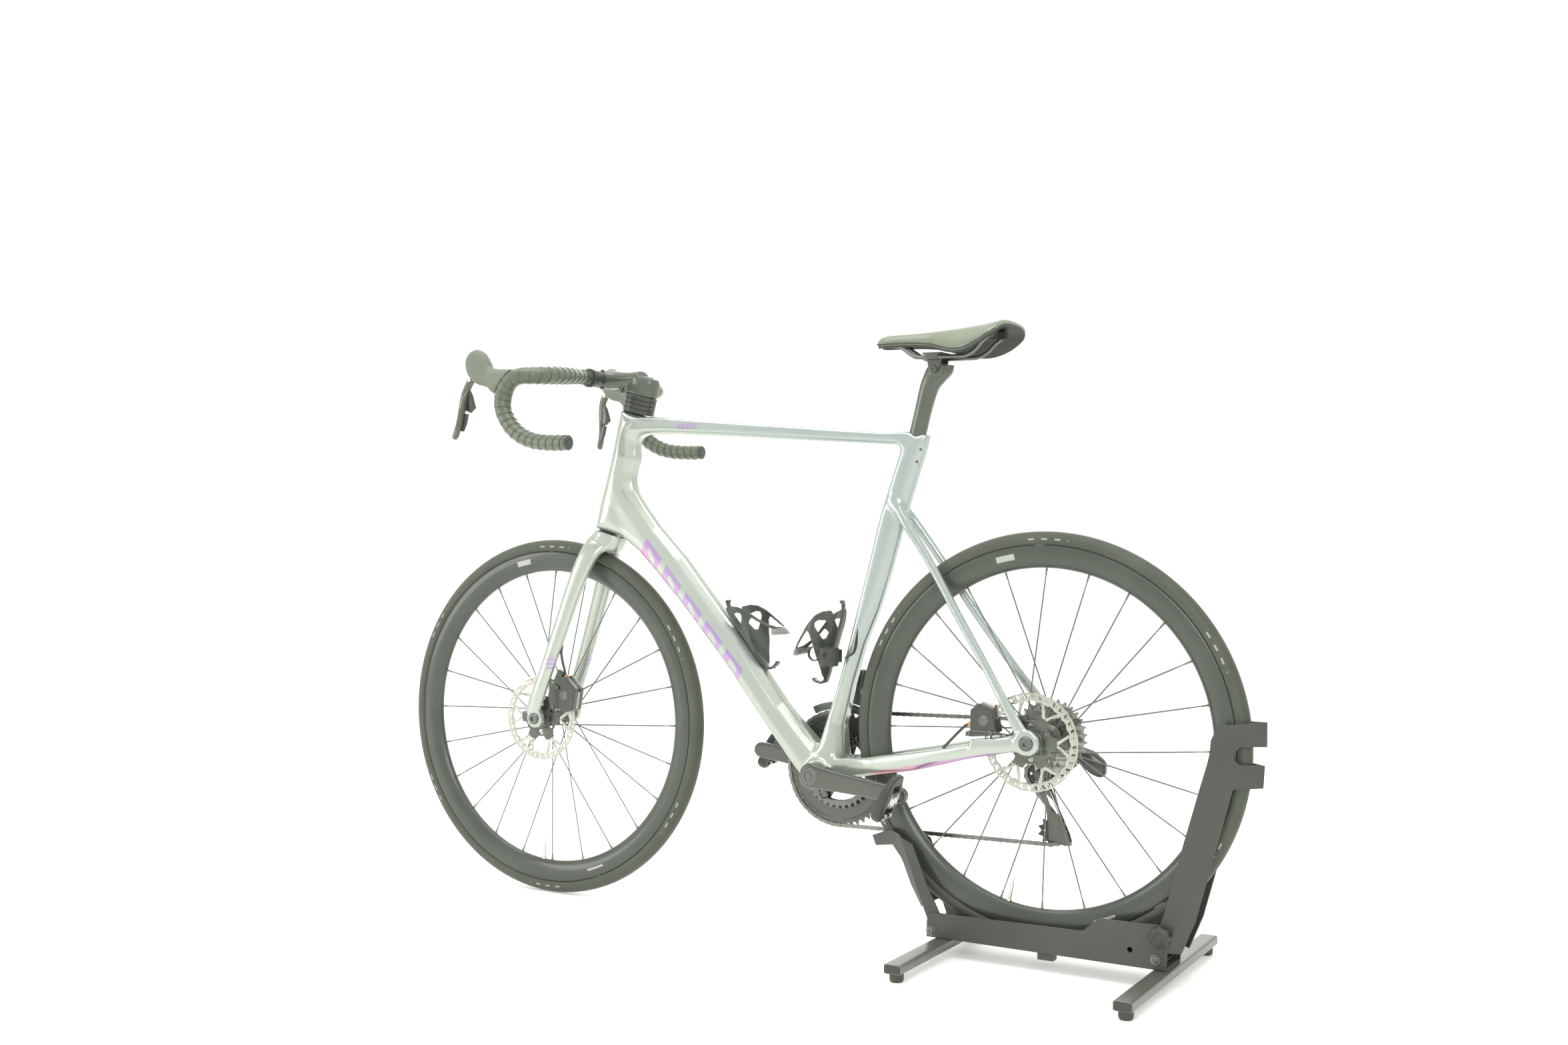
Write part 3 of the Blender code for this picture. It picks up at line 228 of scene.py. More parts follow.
def plate(loops, y0, y1, bevel=0.0):
    """Flat plate in side view between y0 and y1: the first loop is its outline, the others are holes."""
    curve = bpy.data.curves.new("plate", "CURVE")
    curve.dimensions = "2D"
    curve.fill_mode = "BOTH"
    for loop in loops:
        spline = curve.splines.new("POLY")
        spline.points.add(len(loop) - 1)
        for i, p in enumerate(loop):
            spline.points[i].co = (p[0], p[1], 0, 1)
        spline.use_cyclic_u = True
    curve.extrude = max(0.01, (y1 - y0) / 2 - bevel)
    curve.bevel_depth = bevel
    curve.bevel_resolution = 1
    curve.offset = -bevel
    ob = bpy.data.objects.new("plate", curve)
    bpy.context.scene.collection.objects.link(ob)
    mesh = evaluated(ob)
    mid = (y0 + y1) / 2
    verts = [(v.co.x, mid - v.co.z, v.co.y) for v in mesh.vertices]
    faces = [tuple(p.vertices) for p in mesh.polygons]
    bpy.data.objects.remove(ob)
    bpy.data.curves.remove(curve)
    bpy.data.meshes.remove(mesh)
    return verts, faces


def mirror(shape):
    return [(x, -y, z) for x, y, z in shape[0]], [tuple(reversed(f)) for f in shape[1]]


class Field:
    """Signed distances on a grid: shapes added to it flow into each other, and skin() meshes the surface."""

    def __init__(self, lo, hi, step):
        self.lo, self.step = lo, step
        self.axes = [np.arange(a, b + step, step, dtype=np.float32) for a, b in zip(lo, hi)]
        self.d = np.full([len(a) for a in self.axes], 50.0, np.float32)

    def window(self, pts, margin):
        """Index ranges of the grid round some points."""
        cut = []
        for i, a in enumerate(self.axes):
            lo = min(p[i] for p in pts) - margin
            hi = max(p[i] for p in pts) + margin
            cut.append(slice(int(np.searchsorted(a, lo)), int(np.searchsorted(a, hi))))
        return tuple(cut)

    def points(self, cut):
        """Coordinates of the grid in a window."""
        return np.meshgrid(*[a[s] for a, s in zip(self.axes, cut)], indexing="ij", sparse=True)

    def add(self, cut, d, k):
        """Join distances to the ones there, with a fillet of size k."""
        old = self.d[cut]
        near = np.clip(k - np.abs(old - d), 0, None) / k
        self.d[cut] = np.minimum(old, d) - near * near * k / 4

    def tube(self, path, up, power=2.0, k=8.0, steps=4):
        """Tube along rows (x, y, z, a, b), a along up and b across it, with flat ends."""
        rows = fine(path, steps)
        cut = self.window(rows, 30)
        near = np.full(self.d[cut].shape, 50.0, np.float32)
        for one, two in zip(rows, rows[1:]):
            p, q = Vector(one[:3]), Vector(two[:3])
            run = (q - p).length
            tan = (q - p) / run
            u = (Vector(up) - tan * tan.dot(Vector(up))).normalized()
            v = tan.cross(u)
            part = self.window([one, two], 30)
            part = tuple(slice(max(s.start, c.start), min(s.stop, c.stop)) for s, c in zip(part, cut))
            x, y, z = self.points(part)
            x, y, z = x - p.x, y - p.y, z - p.z
            along = x * tan.x + y * tan.y + z * tan.z
            t = np.clip(along / run, 0, 1)
            lu = x * u.x + y * u.y + z * u.z
            lv = x * v.x + y * v.y + z * v.z
            a = one[3] + (two[3] - one[3]) * t
            b = one[4] + (two[4] - one[4]) * t
            level = ((np.abs(lu) / a) ** power + (np.abs(lv) / b) ** power) ** (1 / power)
            d = np.sqrt(lu * lu + lv * lv) * (1 - 1 / np.maximum(level, 1e-3))
            past = np.abs(along - t * run) - 0.4
            d = np.where(past > 0, np.maximum(d, past), d)
            local = tuple(slice(s.start - c.start, s.stop - c.start) for s, c in zip(part, cut))
            near[local] = np.minimum(near[local], d)
        self.add(cut, near, k)

    def barrel(self, centre, r, y0, y1, k=6.0):
        """Disc or shell about an axis along y."""
        x, z = centre
        cut = self.window([(x - r, y0, z - r), (x + r, y1, z + r)], 20)
        px, py, pz = self.points(cut)
        ring = np.sqrt((px - x) ** 2 + (pz - z) ** 2) - r
        flat = np.abs(py - (y0 + y1) / 2) - abs(y1 - y0) / 2
        self.add(cut, np.maximum(ring, flat), k)

    def skin(self):
        """Quads through the cells that the surface crosses, one point a cell."""
        d = self.d
        full = d < 0
        n = [s - 1 for s in d.shape]
        corner = [(i, j, k) for i in (0, 1) for j in (0, 1) for k in (0, 1)]
        total = sum(full[i:n[0] + i, j:n[1] + j, k:n[2] + k].astype(np.int8) for i, j, k in corner)
        cells = np.argwhere((total > 0) & (total < 8))
        number = np.full(n, -1, np.int32)
        number[tuple(cells.T)] = np.arange(len(cells))
        value = {c: d[tuple((cells + c).T)] for c in corner}
        spot = np.zeros((len(cells), 3))
        count = np.zeros(len(cells))
        for c in corner:
            for axis in range(3):
                if c[axis]:
                    continue
                other = tuple(1 if i == axis else c[i] for i in range(3))
                one, two = value[c], value[other]
                cross = (one < 0) != (two < 0)
                t = np.where(cross, one / np.where(cross, one - two, 1), 0)
                at = np.tile(np.array(c, float), (len(cells), 1))
                at[:, axis] = t
                spot += at * cross[:, None]
                count += cross
        verts = (cells + spot / count[:, None]) * self.step + np.array(self.lo)
        faces = []
        for axis in range(3):
            one, two = (axis + 1) % 3, (axis + 2) % 3
            low = [slice(None)] * 3
            high = [slice(None)] * 3
            low[axis], high[axis] = slice(0, -1), slice(1, None)
            edge = np.argwhere(full[tuple(low)] != full[tuple(high)])
            ring = []
            for a, b in ((-1, -1), (0, -1), (0, 0), (-1, 0)):
                cell = edge.copy()
                cell[:, one] += a
                cell[:, two] += b
                ring.append(number[tuple(cell.T)])
            faces.append(np.stack(ring, 1))
        return [tuple(v) for v in verts.tolist()], [tuple(f) for f in np.concatenate(faces).tolist()]


def outline_gap(x, z, loop):
    """Distance from points to a closed outline, positive inside it."""
    gap = np.full(np.broadcast(x, z).shape, 1e6)
    odd = np.zeros(gap.shape, bool)
    for (ax, az), (bx, bz) in zip(loop, loop[1:] + loop[:1]):
        dx, dz = bx - ax, bz - az
        t = np.clip(((x - ax) * dx + (z - az) * dz) / (dx * dx + dz * dz), 0, 1)
        gap = np.minimum(gap, np.hypot(x - ax - dx * t, z - az - dz * t))
        if az != bz:
            odd ^= ((az > z) != (bz > z)) & (x < dx * (z - az) / dz + ax)
    return np.where(odd, gap, -gap)


# ---- materials -----------------------------------------------------------------------------
class Nodes:
    """Small helper that writes maths on the shader nodes of a material or a world."""

    def __init__(self, owner):
        self.nt = owner.node_tree
        self.bsdf = self.nt.nodes.get("Principled BSDF")

    def new(self, kind, **sockets):
        node = self.nt.nodes.new(kind)
        for name, value in sockets.items():
            self.put(node.inputs[name], value)
        return node

    def put(self, socket, value):
        if isinstance(value, bpy.types.NodeSocket):
            self.nt.links.new(value, socket)
        else:
            socket.default_value = value

    def maths(self, op, *values, clamp=False):
        node = self.nt.nodes.new("ShaderNodeMath")
        node.operation = op
        node.use_clamp = clamp
        for i, v in enumerate(values):
            self.put(node.inputs[i], v)
        return node.outputs[0]

    def place(self):
        """Object-space x, y and z in this script's millimetres."""
        coord = self.nt.nodes.new("ShaderNodeTexCoord")
        sep = self.new("ShaderNodeSeparateXYZ", Vector=coord.outputs["Object"])
        x = self.times(self.minus(sep.outputs[0], HUB_X), 1000.0)
        return (x, self.times(sep.outputs[1], 1000.0),
                self.times(sep.outputs[2], 1000.0))

    def polar(self, hub):
        """Radius in millimetres and angle in turns about a wheel's hub, and y."""
        x, y, z = self.place()
        dx = self.minus(x, hub[0])
        dz = self.minus(z, hub[1])
        r = self.maths("SQRT", self.plus(self.times(dx, dx), self.times(dz, dz)))
        return r, self.maths("DIVIDE", self.maths("ARCTAN2", dz, dx), 2 * math.pi), y

    def along(self, start, end):
        """Distance along and to the left of a line in side view, in millimetres."""
        x, y, z = self.place()
        d = Vector((end[0] - start[0], end[1] - start[1])).normalized()
        px = self.minus(x, start[0])
        pz = self.minus(z, start[1])
        s = self.plus(self.times(px, d.x), self.times(pz, d.y))
        h = self.minus(self.times(pz, d.x), self.times(px, d.y))
        return s, h, y

    def inside(self, value, low, high, soft=0.15):
        """1 between low and high, with soft edges."""
        a = self.new("ShaderNodeMapRange", Value=value, **{"From Min": low, "From Max": low + soft})
        b = self.new("ShaderNodeMapRange", Value=value, **{"From Min": high, "From Max": high + soft})
        return self.maths("SUBTRACT", a.outputs[0], b.outputs[0], clamp=True)

    def times(self, *values):
        out = values[0]
        for v in values[1:]:
            out = self.maths("MULTIPLY", out, v)
        return out

    def plus(self, a, b):
        return self.maths("ADD", a, b)

    def minus(self, a, b):
        return self.maths("SUBTRACT", a, b)

    def beyond(self, value, limit):
        """1 where a value is farther than limit from 0."""
        return self.maths("GREATER_THAN", self.maths("ABSOLUTE", value), limit)

    def dashes(self, value, pitch, low, high, soft):
        """1 between two shares of every pitch."""
        return self.inside(self.maths("FRACT", self.maths("DIVIDE", value, pitch)), low, high, soft)

    def colours(self, value, *stops):
        ramp = self.nt.nodes.new("ShaderNodeValToRGB")
        els = ramp.color_ramp.elements
        while len(els) < len(stops):
            els.new(0.5)
        for el, (pos, col) in zip(els, stops):
            el.position = pos
            el.color = (*col, 1)
        self.put(ramp.inputs[0], value)
        return ramp.outputs[0]

    def over(self, mask, colour):
        """Lay colour over the base colour where mask is 1."""
        mix = self.nt.nodes.new("ShaderNodeMix")
        mix.data_type = "RGBA"
        base = self.bsdf.inputs["Base Color"]
        self.put(mix.inputs[6], base.links[0].from_socket if base.links else base.default_value)
        self.put(mix.inputs[7], colour)
        self.put(mix.inputs[0], mask)
        self.nt.links.new(mix.outputs[2], base)

    def raise_by(self, height, strength=0.6, mm=0.3):
        """Add a bump on top of the material's own."""
        b = self.new("ShaderNodeBump", Strength=strength, Distance=mm * MM, Height=height)
        normal = self.bsdf.inputs["Normal"]
        if normal.links:
            self.nt.links.new(normal.links[0].from_socket, b.inputs["Normal"])
        self.nt.links.new(b.outputs[0], normal)


def material(name, colour, rough, metal=0.0, coat=0.0, bump=0.0, scale=400.0, mottle=0.12, rough_vary=0.12,
             cells=False, sheen=0.0, bump_mm=0.2):
    """Principled material with procedural colour, roughness and bump variation in object space."""
    if max(colour) < 0.16 and not name.startswith("stand"):
        warm = (0.97, 1.0, 0.92) if metal > 0.3 else (0.92, 1.02, 0.8)
        colour = tuple(c * w for c, w in zip(colour, warm))
    mat = bpy.data.materials.new(name)
    mat.use_nodes = True
    n = Nodes(mat)
    surface = n.bsdf.inputs
    for socket, value in (("Metallic", metal), ("Coat Weight", coat), ("Coat Roughness", 0.06),
                          ("Sheen Weight", sheen)):
        surface[socket].default_value = value
    spot = n.new("ShaderNodeTexCoord").outputs["Object"]
    soft = n.new("ShaderNodeTexNoise", Vector=spot, Scale=14.0, Detail=5.0)
    dark = [c * (1 - mottle) for c in colour]
    light = [min(1.0, c * (1 + mottle)) for c in colour]
    n.put(surface["Base Color"], n.colours(soft.outputs["Fac"], (0.3, dark), (0.7, light)))
    if cells:
        grain = n.new("ShaderNodeTexVoronoi", Vector=spot, Scale=scale).outputs["Distance"]
    else:
        grain = n.new("ShaderNodeTexNoise", Vector=spot, Scale=scale, Detail=4.0).outputs["Fac"]
    spread = n.new("ShaderNodeMapRange", Value=grain, **{"To Min": max(0.02, rough - rough_vary),
                                                         "To Max": min(1.0, rough + rough_vary)})
    n.put(surface["Roughness"], spread.outputs[0])
    if bump > 0:
        height = n.new("ShaderNodeBump", Strength=bump, Distance=bump_mm * MM, Height=grain)
        n.put(surface["Normal"], height.outputs[0])
    return mat


PURPLE, PINK, ORANGE = (0.36, 0.20, 0.50), (0.47, 0.20, 0.42), (0.58, 0.22, 0.22)


def paint_material():
    """Pearl paint: warm pale green-grey in front, with fine flake; the cooler, bluer tint to the rear and up
    high is a painted reflection.
    """
    mat = material("pearl_paint", (0.40, 0.435, 0.38), 0.23, 0.5, 1.0, 0.05, 2600.0, mottle=0.03,
                   rough_vary=0.07, bump_mm=0.03)
    n = Nodes(mat)
    x, y, z = n.place()
    rear = n.new("ShaderNodeMapRange", Value=n.plus(x, n.times(z, -0.55)),
                 **{"From Min": 60.0, "From Max": 420.0, "To Min": 1.0, "To Max": 0.0})
    high = n.new("ShaderNodeMapRange", Value=z, **{"From Min": 330.0, "From Max": 520.0})
    # painted reflection: blue-grey laid over the paint towards the rear and top, in place of the cool room
    # reflected there
    painted_reflection = n.times(rear.outputs[0], high.outputs[0], 0.6)
    n.over(painted_reflection, (0.29, 0.345, 0.35, 1))
    return mat, n


def decals(n):
    """Generic purple to orange marks on the down tube, top tube, chainstays and fork."""
    pitch, half_height = 66.0, 17.0
    s, h, y = n.along((786, 675), (562, 429))
    side = n.beyond(y, 15.0)
    lean = n.plus(s, n.times(h, -0.3))
    cell = n.times(n.maths("FRACT", n.maths("DIVIDE", lean, pitch)), pitch)
    wave = n.times(n.maths("SINE", n.maths("DIVIDE", lean, 11.0)), 5.0)
    bars = n.times(n.inside(cell, 4, 55), n.inside(lean, 2, 328), n.inside(h, -half_height, half_height),
                   side)
    slot = n.times(n.inside(cell, 19, 43), n.inside(n.plus(h, wave), -6, 5))
    tone = n.new("ShaderNodeMapRange", Value=n.times(h, -1.0),
                 **{"From Min": -half_height, "From Max": half_height})
    n.over(n.times(n.maths("SUBTRACT", bars, slot, clamp=True), 0.8),
           n.colours(tone.outputs[0], (0.0, ORANGE), (0.3, PINK), (0.85, PURPLE)))
    # a short mark on the top tube and one on each fork leg
    x, y, z = n.place()
    dash = n.dashes(n.plus(x, n.times(z, 0.4)), 9.0, 0.12, 0.8, 0.05)
    top = n.times(n.inside(x, 672, 716), n.inside(z, 889, 899), dash, n.beyond(y, 12.0))
    dash = n.dashes(z, 8.5, 0.15, 0.8, 0.05)
    low = n.times(n.inside(x, 955, 972), n.inside(z, 436, 462), dash, n.beyond(y, 50.0))
    n.over(n.times(n.maths("MAXIMUM", top, low), 0.7), (*PURPLE, 1))
    # stripe along the lower edge of each chainstay
    s, h, y = n.along((60, 344), (300, 292))
    rise = n.plus(h, n.times(s, 0.025))
    stripe = n.times(n.inside(s, -8, 235, 12), n.inside(rise, -14, 9, .4), n.beyond(y, 30.0))
    tone = n.new("ShaderNodeMapRange", Value=s, **{"From Min": 0.0, "From Max": 235.0})
    n.over(n.times(stripe, 0.85), n.colours(tone.outputs[0], (0.0, PURPLE), (0.5, PINK), (1.0, ORANGE)))


# ---- pieces --------------------------------------------------------------------------------
def solid(name, points, faces, weld=0.0):
    """Object with its faces turned outwards, its near points joined where weld says so."""
    mesh = bpy.data.meshes.new(name)
    mesh.from_pydata(points, [], faces)
    bm = bmesh.new()
    bm.from_mesh(mesh)
    if weld:
        bmesh.ops.remove_doubles(bm, verts=bm.verts, dist=weld)
    bmesh.ops.recalc_face_normals(bm, faces=bm.faces)
    bm.to_mesh(mesh)
    bm.free()
    ob = bpy.data.objects.new(name, mesh)
    bpy.context.scene.collection.objects.link(ob)
    return ob


def evaluated(ob):
    """New mesh with an object's modifiers applied."""
    return bpy.data.meshes.new_from_object(ob.evaluated_get(bpy.context.evaluated_depsgraph_get()))


def settle(ob):
    """Apply an object's modifiers."""
    mesh, old = evaluated(ob), ob.data
    ob.modifiers.clear()
    ob.data = mesh
    bpy.data.meshes.remove(old)


def soften(ob, width, angle):
    """Bevel the edges that are sharper than an angle."""
    bevel = ob.modifiers.new("edge", "BEVEL")
    bevel.width = width * MM
    bevel.segments = 2
    bevel.limit_method = "ANGLE"
    bevel.angle_limit = math.radians(angle)
    ob.modifiers.new("even", "WEIGHTED_NORMAL")


def sharpen(ob, angle):
    ob.data.shade_smooth()
    ob.data.set_sharp_from_angle(angle=math.radians(angle))


def piece(name, shape, mat, body, node, smooth=35, bevel=0.0):
    """One visual piece from a shape in millimetres: it rides on a body and replaces a CAD node."""
    ob = solid(name, [world(v) for v in shape[0]], shape[1], 1e-6)
    ob.data.materials.append(mat)
    ob.data.shade_smooth()
    if bevel:
        soften(ob, bevel, smooth)
    else:
        sharpen(ob, smooth)
    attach(ob, body)
    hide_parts(node)
    return ob


def melt(ob, voxel, rounds):
    """Melt overlapping shapes into one skin where voxel isn't 0, and smooth it into small fillets."""
    if voxel:
        skin = ob.modifiers.new("skin", "REMESH")
        skin.mode = "VOXEL"
        skin.voxel_size = voxel * MM
        skin.use_smooth_shade = True
    ob.modifiers.new("soft", "SMOOTH").iterations = rounds
    settle(ob)
    ob.data.shade_smooth()


def carve(ob, *shapes):
    """Cut shapes out of an object."""
    tools = [solid("cut", [world(v) for v in shape[0]], shape[1]) for shape in shapes]
    for tool in tools:
        cut = ob.modifiers.new("cut", "BOOLEAN")
        cut.operation = "DIFFERENCE"
        cut.solver = "EXACT"
        cut.object = tool
    settle(ob)
    for tool in tools:
        bpy.data.objects.remove(tool)


def along_steer(t, fore=0.0, y=0.0):
    """Point t up the steering axis and fore ahead of it."""
    return Vector((STEER[0], y, STEER[1])) + STEER_DIR * t + FORE * fore


# ---- materials in use ----------------------------------------------------------------------
PAINT, _n = paint_material()
decals(_n)
CARBON = material("satin_carbon", (0.045, 0.048, 0.045), 0.36, coat=0.15, bump=0.06, scale=900, mottle=0.1)
SHELL_BLACK = material("black_plastic", (0.038, 0.04, 0.038), 0.45, bump=0.12, scale=1500, mottle=0.1)
COVER_GREY = material("grey_plastic", (0.22, 0.225, 0.2), 0.35, bump=0.1, scale=900, mottle=0.15)
GLOSS_BLACK = material("gloss_plastic", (0.04, 0.042, 0.042), 0.22, coat=0.4, bump=0.04, scale=900,
                       mottle=0.08)
ALLOY = material("black_alloy", (0.12, 0.125, 0.115), 0.33, metal=0.7, bump=0.06, scale=1800, mottle=0.1)
BRIGHT = material("polished_steel", (0.62, 0.61, 0.56), 0.26, metal=1.0, bump=0.08, scale=700, mottle=0.08)
DARK_STEEL = material("dark_steel", (0.16, 0.165, 0.16), 0.38, metal=0.85, bump=0.06, scale=900, mottle=0.12)
RAW = material("raw_alloy", (0.7, 0.7, 0.66), 0.3, metal=0.9, bump=0.05, scale=900, mottle=0.06)
RUBBER = material("rubber", (0.05, 0.052, 0.048), 0.62, bump=0.25, scale=1600, mottle=0.12)
STAND = material("stand_steel", (0.062, 0.067, 0.056), 0.42, metal=0.3, bump=0.35, scale=1900,
                 mottle=0.08, rough_vary=0.08, bump_mm=0.15)
# painted reflection: the crossbars get a lighter, glossier copy of the stand steel, in place of the bright
# reflection on their tops
STAND_BAR_PAINTED_SHEEN = material("stand_bar_steel_painted_sheen", (0.13, 0.135, 0.115), 0.3, metal=0.35, bump=0.3, scale=1900,
                     mottle=0.08, rough_vary=0.08, bump_mm=0.12)
SADDLE_SKIN = material("saddle_cover", (0.15, 0.157, 0.13), 0.36, coat=0.25, bump=0.35, scale=1100,
                       mottle=0.06, cells=True, sheen=0.15, bump_mm=0.12)
SPACER = material("spacer_black", (0.035, 0.037, 0.035), 0.3, coat=0.3, bump=0.04, scale=900, mottle=0.08)
CARBON_SATIN = material("stem_carbon", (0.07, 0.073, 0.068), 0.3, coat=0.5, bump=0.05, scale=1200, mottle=0.1)
TAPE = material("bar_tape", (0.10, 0.106, 0.086), 0.3, bump=0.5, scale=750, mottle=0.08, cells=True,
                sheen=0.2, bump_mm=0.18)
HOOD_RUBBER = material("hood_rubber", (0.15, 0.153, 0.145), 0.55, bump=0.3, scale=900, mottle=0.08,
                       sheen=0.15)
LEVER_BLACK = material("lever_black", (0.1, 0.103, 0.1), 0.27, metal=0.2, coat=0.5, bump=0.03, scale=900,
                       mottle=0.08)
CRANK_BLACK = material("crank_black", (0.09, 0.094, 0.085), 0.24, metal=0.55, coat=0.4, bump=0.03, scale=1200,
                       mottle=0.08)
COG_STEEL = material("cog_steel", (0.36, 0.36, 0.33), 0.3, metal=1.0, bump=0.12, scale=500, mottle=0.12)
CHAIN_STEEL = material("chain_steel", (0.2, 0.2, 0.185), 0.34, metal=1.0, bump=0.12, scale=900, mottle=0.2)
ROTOR = material("rotor_steel", (0.44, 0.43, 0.38), 0.34, metal=0.8, bump=0.1, scale=500, mottle=0.06)
COPPER = material("copper", (0.72, 0.30, 0.14), 0.3, metal=1.0, mottle=0.06)


# ---- frame ---------------------------------------------------------------------------------
def rounded(points, steps=6):
    """Closed outline from (x, z) or (x, z, radius) points with filleted corners."""
    out = []
    n = len(points)
    for i, p in enumerate(points):
        here = Vector(p[:2])
        if len(p) < 3:
            out.append(tuple(here))
            continue
        a, b = Vector(points[i - 1][:2]) - here, Vector(points[(i + 1) % n][:2]) - here
        cut = p[2] / math.tan(a.angle(b) / 2)
        one, two = here + a.normalized() * cut, here + b.normalized() * cut
        for k in range(steps + 1):
            t = k / steps
            mid = one * (1 - t) ** 2 + here * 2 * t * (1 - t) + two * t * t
            out.append(tuple(mid))
    return out


HT_TOP, HT_LOW = along_steer(0, 31), along_steer(-233, 31)
WINDOW = rounded([(783, 880.5, 26), (815, 879, 26), (809, 836, 30), (824, 790, 44), (788, 744), (760, 712),
                  (702, 656), (658, 605), (556, 489), (486, 402), (452, 367), (412, 328, 9), (394, 388, 60),
                  (374, 450), (355, 524), (341, 582), (326, 640), (302, 736), (268, 838), (262, 855.5, 13),
                  (301, 857.5), (441, 865), (601, 874), (742, 880.5)])
OUTLINE = rounded([(792, 914.3), (HT_TOP.x, HT_TOP.z, 3), (HT_LOW.x, HT_LOW.z, 3),
                   (along_steer(-233, -14).x, along_steer(-233, -14).z, 12), (838, 688, 20), (800, 664),
                   (746, 614), (698, 566), (598, 456), (526, 367), (452, 285), (424, 258, 10), (388, 258, 14),
                   (362, 300, 14), (366, 370), (350, 440), (329, 510), (303, 572), (283, 634), (256, 732),
                   (224, 834), (213.5, 873, 2), (252.5, 879.5, 2), (300, 879), (440, 889), (600, 900.5),
                   (740, 911)])
# each tube: its centre line (x, z, half width), then its share of that width by distance from the outline
# and from the window
TUBES = (
    ([(along_steer(t).x, along_steer(t).z, w)
      for t, w in ((0, 24), (-60, 23), (-130, 23), (-190, 25), (-233, 26))],
     [(0, .25), (3, .55), (8, .8), (15, .95), (24, 1)], [(0, .42), (18, .8), (20, .84), (34, 1)]),
    ([(858, 745, 23), (827, 729, 23.5), (780, 689, 25), (724, 635, 26), (678, 585, 26), (577, 472, 26.5),
      (506, 384, 28.5), (436, 309, 33), (404, 279, 37)],
     [(0, .4), (3, .8), (7, .94), (18, 1)], [(0, .34), (14, .84), (15.5, .88), (34, 1)]),
    ([(813, 894, 20), (741, 896, 20), (600, 887, 19), (440, 877, 17), (300, 868, 15.5), (238, 863, 15)],
     [(0, .72), (3, .93), (7, 1)], [(0, .45), (6.5, .92), (8, .97), (13, 1)]),
    ([(234, 875, 16.5), (245, 836, 16.5), (279, 734, 16.5), (304, 637, 17), (322, 577, 18), (342, 517, 20),
      (362, 445, 23), (381, 378, 26), (388, 315, 33), (404, 277, 37)],
     [(0, .42), (9, .8), (10.5, .86), (18, 1)], [(0, .45), (5, .88), (7, .93), (16, 1)]))

def triangle(field):
    """The main triangle: as thick as its tubes, with their chamfers following both outlines."""
    x, z = np.meshgrid(field.axes[0], field.axes[2], indexing="ij")
    e_out, e_in = outline_gap(x, z, OUTLINE), -outline_gap(x, z, WINDOW)
    weight = thick = full_out = full_in = 0.0
    for centre, outer, inner in TUBES:
        best, width = np.full(x.shape, 1e6), np.zeros(x.shape)
        for (ax, az, aw), (bx, bz, bw) in zip(centre, centre[1:]):
            dx, dz = bx - ax, bz - az
            t = np.clip(((x - ax) * dx + (z - az) * dz) / (dx * dx + dz * dz), 0, 1)
            away = np.hypot(x - ax - dx * t, z - az - dz * t)
            width = np.where(away < best, aw + (bw - aw) * t, width)
            best = np.minimum(best, away)
        share = (best + 5.0) ** -4
        weight = weight + share
        thick = thick + share * width
        full_out = full_out + share * np.interp(e_out, *zip(*outer))
        full_in = full_in + share * np.interp(e_in, *zip(*inner))
    half = thick / weight * np.minimum(full_out, full_in) / weight
    side_gap = np.abs(field.axes[1])[None, :, None] - half[:, None, :]
    rim_gap = -np.minimum(e_out, e_in)[:, None, :]
    soft = np.clip(3.0 - np.abs(side_gap - rim_gap), 0, None) / 3.0
    return np.minimum(50.0, np.maximum(side_gap, rim_gap) + soft * soft * 0.75).astype(np.float32)


skin = Field((-32, -88, 228), (908, 88, 936), 2.0)
skin.d = triangle(skin)
skin.barrel(BB, 25.5, -43, 43, 8)
for s in (1, -1):
    stay = [(276, s * 8, 762, 9, 8), (248, s * 20, 724, 8, 7.5), (204, s * 25, 665, 7.5, 6.5),
            (137, s * 40, 566, 7.5, 6.0), (90, s * 53, 500, 7.5, 5.2), (60, s * 64, 458, 8, 4.7),
            (46, s * 69.5, 439, 8.5, 4.6), (22, s * 76, 405, 10, 4.5), (4, s * 79, 378, 12, 4.5)]
    skin.tube(stay, (0.8, 0, -0.6), 2.6, 9)
    low = [(392, s * 29, 290, 20, 7.5), (350, s * 28.2, 297, 18, 7.4), (312, s * 31, 303, 16, 7.0),
           (280, s * 39, 310, 16, 6.8), (245, s * 47.5, 317, 16, 6.8), (206, s * 56, 325, 15.5, 6.5),
           (150, s * 66, 339, 13.5, 6.0), (100, s * 74, 352, 12, 5.5), (50, s * 78.5, 363, 11.5, 5.0),
           (4, s * 79, 371, 12, 5.0)]
    skin.tube(low, (0, 0, 1), 2.8, 9)
    skin.barrel(REAR, 20.5, s * 72.0, s * 84.0, 5)
skin.tube([(98, 76, 362, 11, 4), (60, 76, 368, 9, 4), (22, 76, 377, 7, 4)], (0, 0, 1), 3.0, 5)
frame_ob = piece("frame_skin", skin.skin(), PAINT, "bicycle", "frame")
melt(frame_ob, 0, 8)
# mouth of the seat tube, with the way down into it and the way across it
POST_TOP = Vector((236.0, 0, 874.8))
POST_DOWN = Vector((0.23514, 0, -0.97196))
POST_FORE = Vector((-POST_DOWN.z, 0, POST_DOWN.x))
pocket = [oval(POST_TOP + POST_DOWN * t, POST_FORE, (0, 1, 0), a, b, 28, 2.4)
          for t, a, b in ((104, 15.0, 11.6), (100, 15.6, 12.1), (-8.0, 15.6, 12.1))]
carve(frame_ob, loft(pocket))
sharpen(frame_ob, 50)


def tube_back(z):
    """Where the back of the seat tube is at a height by the clamp."""
    return 224.0 + (834.0 - z) * 0.314
